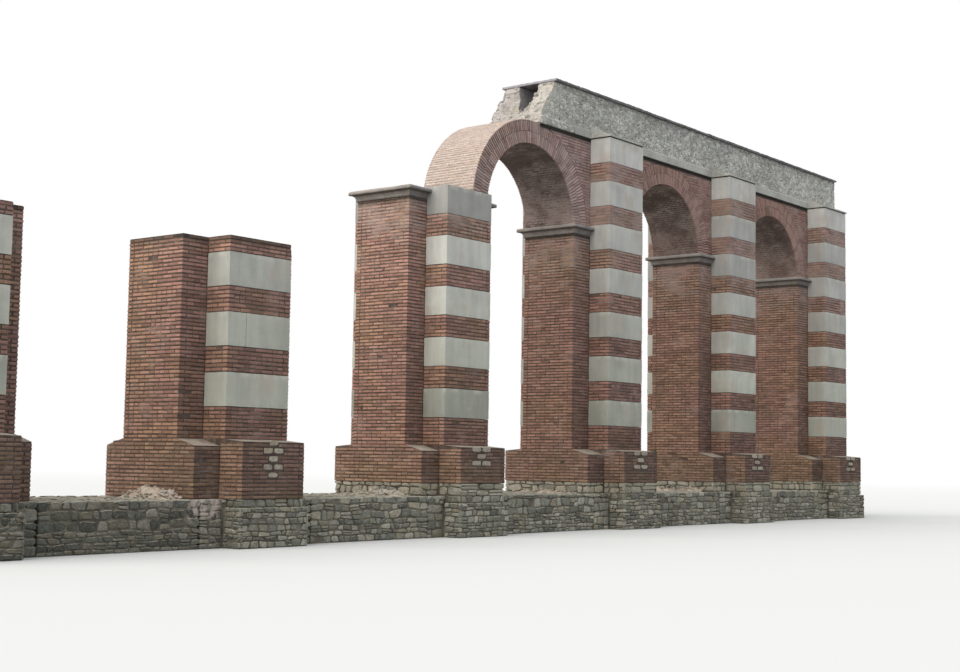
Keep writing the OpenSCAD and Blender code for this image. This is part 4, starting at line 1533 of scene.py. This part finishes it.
def build_channel():
    """The bed with its band, both walls with the section of the broken end, and the lining inside."""
    rng = seeded("channel")
    parts = [(*drawn_in(node, channel_depth, CUT_X - OVERLAP), None) for node in CHANNEL_NODES]
    parts += [rough_side(sy, CUT_X - 2 * OVERLAP, END_X, STONES_FROM, COVER_Z) for sy in (-1, 1)]
    points, quads, tones, lined = make_broken_end()
    parts += [(points, quads, tones), round_stones(points, quads, BEDDED, rng)]
    materials = [BAND] * 3 + [CHANNEL_WALL] * 4 + [LINING]
    band, wall, end, lining = 0, 3, 5, 7  # numbers of materials
    channel = piece("channel_masonry", parts, materials, CHANNEL_NODES, (end, end + 1))
    slots = np.empty(len(channel.data.polygons), np.int32)
    channel.data.polygons.foreach_get("material_index", slots)
    end_start = np.flatnonzero(slots == end)[0]
    for p, slot in zip(channel.data.polygons, slots):
        from_middle = abs(p.center.y)
        if slot == end and lined[p.index - end_start]:
            p.material_index = lining
        elif slot == end and from_middle > CORE_Y + 0.012 and p.normal.x > -0.3:
            p.material_index = band
        elif slot < wall and from_middle < CHANNEL_HALF + 0.005:
            p.material_index = lining
        elif slot < wall and (p.normal.x > 0.9 or from_middle < CORE_Y) and p.center.z > BED_Z + BAND_RISE:
            p.material_index = wall


def build_slabs():
    """The cover slabs, each with its front and back edge a little off the others'."""
    rng = seeded("slabs")
    edges = levels("cover_slabs", 0)
    (y0, y1), (z0, z1) = span("cover_slabs", 1), span("cover_slabs", 2)
    slabs = []
    for x0, x1 in zip(edges[::2], edges[1::2]):
        lips = rng.uniform(0, 0.012, 2)
        low, high = (x0, y0 + lips[0], z0), (x1, y1 - lips[1], z1 - rng.uniform(0, 0.008))
        slabs.append(rough_box(low, high, SLAB_STEP, rng, wear=0.012, bow=0.004))
    piece("slabs_weathered", [(*joined(slabs), None)], [SLAB], ("cover_slabs",))


def build_impost(key):
    """An impost with its edges worn round and its faces a little uneven."""
    node = "impost_" + key
    points, normals, quads = remeshed(solid_of(node), IMPOST_GRAIN)
    wear = 0.001 + 0.010 * np.maximum(roughness(points, 4.0, 4), 0.0)
    parts = [(points - normals * wear[:, None], quads, None)]
    piece("impost_weathered_" + key, parts, [CORNICE], (node,), (0,))


build_channel()
build_slabs()
for key in "cdef":
    build_impost(key)


# Loose stones on the low walls

# The mound of crumbled mortar at a pier's left jamb: from and to across the row, its height and reach
MOUNDS = {
    "b": (-1.16, 0.80, 0.27, 0.42),
    "c": (-1.10, 0.90, 0.12, 0.42),
    "d": (-0.90, 1.20, 0.09, 0.28),
    "e": (-1.10, 1.10, 0.14, 0.24),
}
# Each heap of stones: the pier, from and to across the row, reach, how many stones and how large
HEAPS = [
    ("b", -1.10, 0.75, 0.44, 60, 0.040),
    ("b", -1.16, -0.50, 0.42, 16, 0.070),
    ("c", -1.15, 1.05, 0.46, 60, 0.045),
    ("c", -1.10, 0.40, 0.30, 8, 0.150),
    ("d", -1.10, 1.15, 0.30, 45, 0.040),
    ("e", -1.10, 1.10, 0.26, 40, 0.040),
]
RIM_SUNK = 0.034  # how far a mound's rim is sunk into the low wall's top
LEAST = 0.012  # how thick a mound is at least


def heaped(key, x, y):
    """How high the mound at a pier's left jamb stands at points."""
    y0, y1, height, reach = MOUNDS[key]
    out = (PIERS[key].left - x) / reach
    fall = np.clip(1 - out, 0, 1) ** 1.2 * smooth(y, y0, y0 + 0.45) * smooth(y, y1, y1 - 0.6)
    flat = np.stack([x, y, 0 * x], 1)
    heap = height * fall * (0.85 + 0.45 * roughness(flat, 3.0, 4))
    crumbs = 0.03 * fall**0.3 * roughness(flat, 14.0, 3)
    return np.maximum(heap + crumbs + LEAST * (fall > 0.02), 0.0)


def mound(key):
    """A heap against the left jamb of a pier, its rim sunk into the low wall's top."""
    y0, y1, _, reach = MOUNDS[key]
    across, out = np.linspace(y0, y1, 70), np.concatenate([[-0.03], np.linspace(0, 1, 18)])
    gy, gt = (grid.ravel() for grid in np.meshgrid(across, out, indexing="ij"))
    x = PIERS[key].left - gt * reach
    points = np.stack([x, gy, WALL_TOP - RIM_SUNK + np.where(gt < 0, 0.0, heaped(key, x, gy))], 1)
    return points, grid_faces(np.arange(len(points)).reshape(len(across), len(out)).T), None


def angular(centres, sizes, tones, rng):
    """Broken stones with flat facets."""
    stones = []
    for centre, size in zip(centres, sizes):
        bm = bmesh.new()
        for corner in unit(rng.normal(size=(int(rng.integers(10, 15)), 3))) * size + centre:
            bm.verts.new(corner)
        bmesh.ops.convex_hull(bm, input=bm.verts)
        bmesh.ops.recalc_face_normals(bm, faces=bm.faces)
        stones.append(taken(bm))
    return (*joined(stones), np.repeat(tones, [len(points) for points, _ in stones], 0))


def build_debris():
    """Fallen stones and crumbled mortar heaped against the plinths."""
    rng = seeded("loose")
    centres, sizes = [], []
    for key, y0, y1, reach, count, size in HEAPS:
        s = size * rng.uniform(0.5, 1.4, count)
        stones = s[:, None] * rng.uniform((0.7, 0.9, 0.5), (1.2, 1.6, 0.9), (count, 3))
        x = PIERS[key].left - np.maximum(rng.random(count) ** 1.4 * reach, stones[:, 0])
        y = rng.uniform(y0 + s, y1 - s)
        centres.append(np.stack([x, y, WALL_TOP + heaped(key, x, y) - 0.1 * stones[:, 2]], 1))
        sizes.append(stones)
    centres, sizes = np.concatenate(centres), np.concatenate(sizes)
    count = len(sizes)
    tones = np.stack([rng.random(count), rng.random(count), rng.uniform(0.3, 1.0, count), np.ones(count)], 1)
    parts = [mound(key) for key in MOUNDS] + [angular(centres, sizes, tones, rng)]
    materials = [DEBRIS] * len(MOUNDS) + [FALLEN_STONE]
    piece("debris", parts, materials, rounded=range(len(MOUNDS)))


build_debris()


# Stage, lights and camera


def stage_floor():
    """A plain pale floor that fades to white far away. It throws less light back than it shows."""
    bpy.ops.mesh.primitive_plane_add(size=900, location=(0, 0, 0))
    floor = bpy.context.object
    floor.name = "floor"
    s = Shader("pale_floor", 1.0, 0.0)
    seen = s.add("LightPath").outputs["Is Camera Ray"]
    s.finish(s.mix(seen, (0.35, 0.35, 0.34), (0.80, 0.80, 0.79)))
    away = s.add("VectorMath", {0: s.coords}, operation="LENGTH").outputs["Value"]
    far = s.both(s.fade(away, 30.0, 160.0), seen)
    white = s.add("Emission").outputs[0]
    shown = s.add("MixShader", {0: far, 1: s.shader.outputs[0], 2: white}).outputs[0]
    put(s.tree, s.tree.nodes["Material Output"].inputs["Surface"], shown)
    floor.data.materials.append(s.material)


def sky():
    """Plain soft light from all round, seen as white."""
    world = bpy.data.worlds.new("studio")
    bpy.context.scene.world = world
    world.use_nodes = True
    tree = world.node_tree
    tree.nodes.clear()
    fill = wired(tree, "Background", {"Color": (0.93, 0.97, 1.0), "Strength": 0.77}).outputs[0]
    white = wired(tree, "Background", {"Color": (1.0, 1.0, 1.0), "Strength": 1.0}).outputs[0]
    rays = wired(tree, "LightPath").outputs
    seen = rays["Is Camera Ray"]
    for ray in ("Is Glossy Ray", "Is Transmission Ray"):
        seen = wired(tree, "Math", {0: seen, 1: rays[ray]}, operation="MAXIMUM").outputs[0]
    shown = wired(tree, "MixShader", {0: seen, 1: fill, 2: white}).outputs[0]
    wired(tree, "OutputWorld", {"Surface": shown})


def key_light():
    """A broad soft key from the left and a little behind, as in the photograph."""
    light = bpy.data.lights.new("key", "SUN")
    light.energy = 2.25
    light.angle = math.radians(70)
    light.color = (1.0, 0.95, 0.87)
    ob = bpy.data.objects.new("key", light)
    bpy.context.scene.collection.objects.link(ob)
    to_light = Vector((-0.80, 0.10, 0.62))
    ob.rotation_mode = "QUATERNION"
    ob.rotation_quaternion = to_light.to_track_quat("Z", "Y")


def photo_camera():
    """The photograph's camera, where its place and lens were solved to be."""
    yaw, pitch, roll = (math.radians(a) for a in (YAW, PITCH, ROLL))
    ahead = Vector((math.cos(yaw) * math.cos(pitch), math.sin(yaw) * math.cos(pitch), math.sin(pitch)))
    right = Vector((math.sin(yaw), -math.cos(yaw), 0.0))
    up = right.cross(ahead)
    across = right * math.cos(roll) + up * math.sin(roll)
    top = up * math.cos(roll) - right * math.sin(roll)
    camera = bpy.data.objects.new("camera", bpy.data.cameras.new("camera"))
    camera.data.sensor_width = 36.0
    camera.data.lens = camera.data.sensor_width * FOCAL_PX / IMAGE_W
    camera.data.clip_end = 2000
    camera.matrix_world = Matrix((across, top, -ahead)).transposed().to_4x4()
    camera.location = CAMERA_AT
    bpy.context.scene.collection.objects.link(camera)
    bpy.context.scene.camera = camera


stage_floor()
sky()
key_light()
photo_camera()
bpy.context.scene.view_settings.view_transform = "Standard"
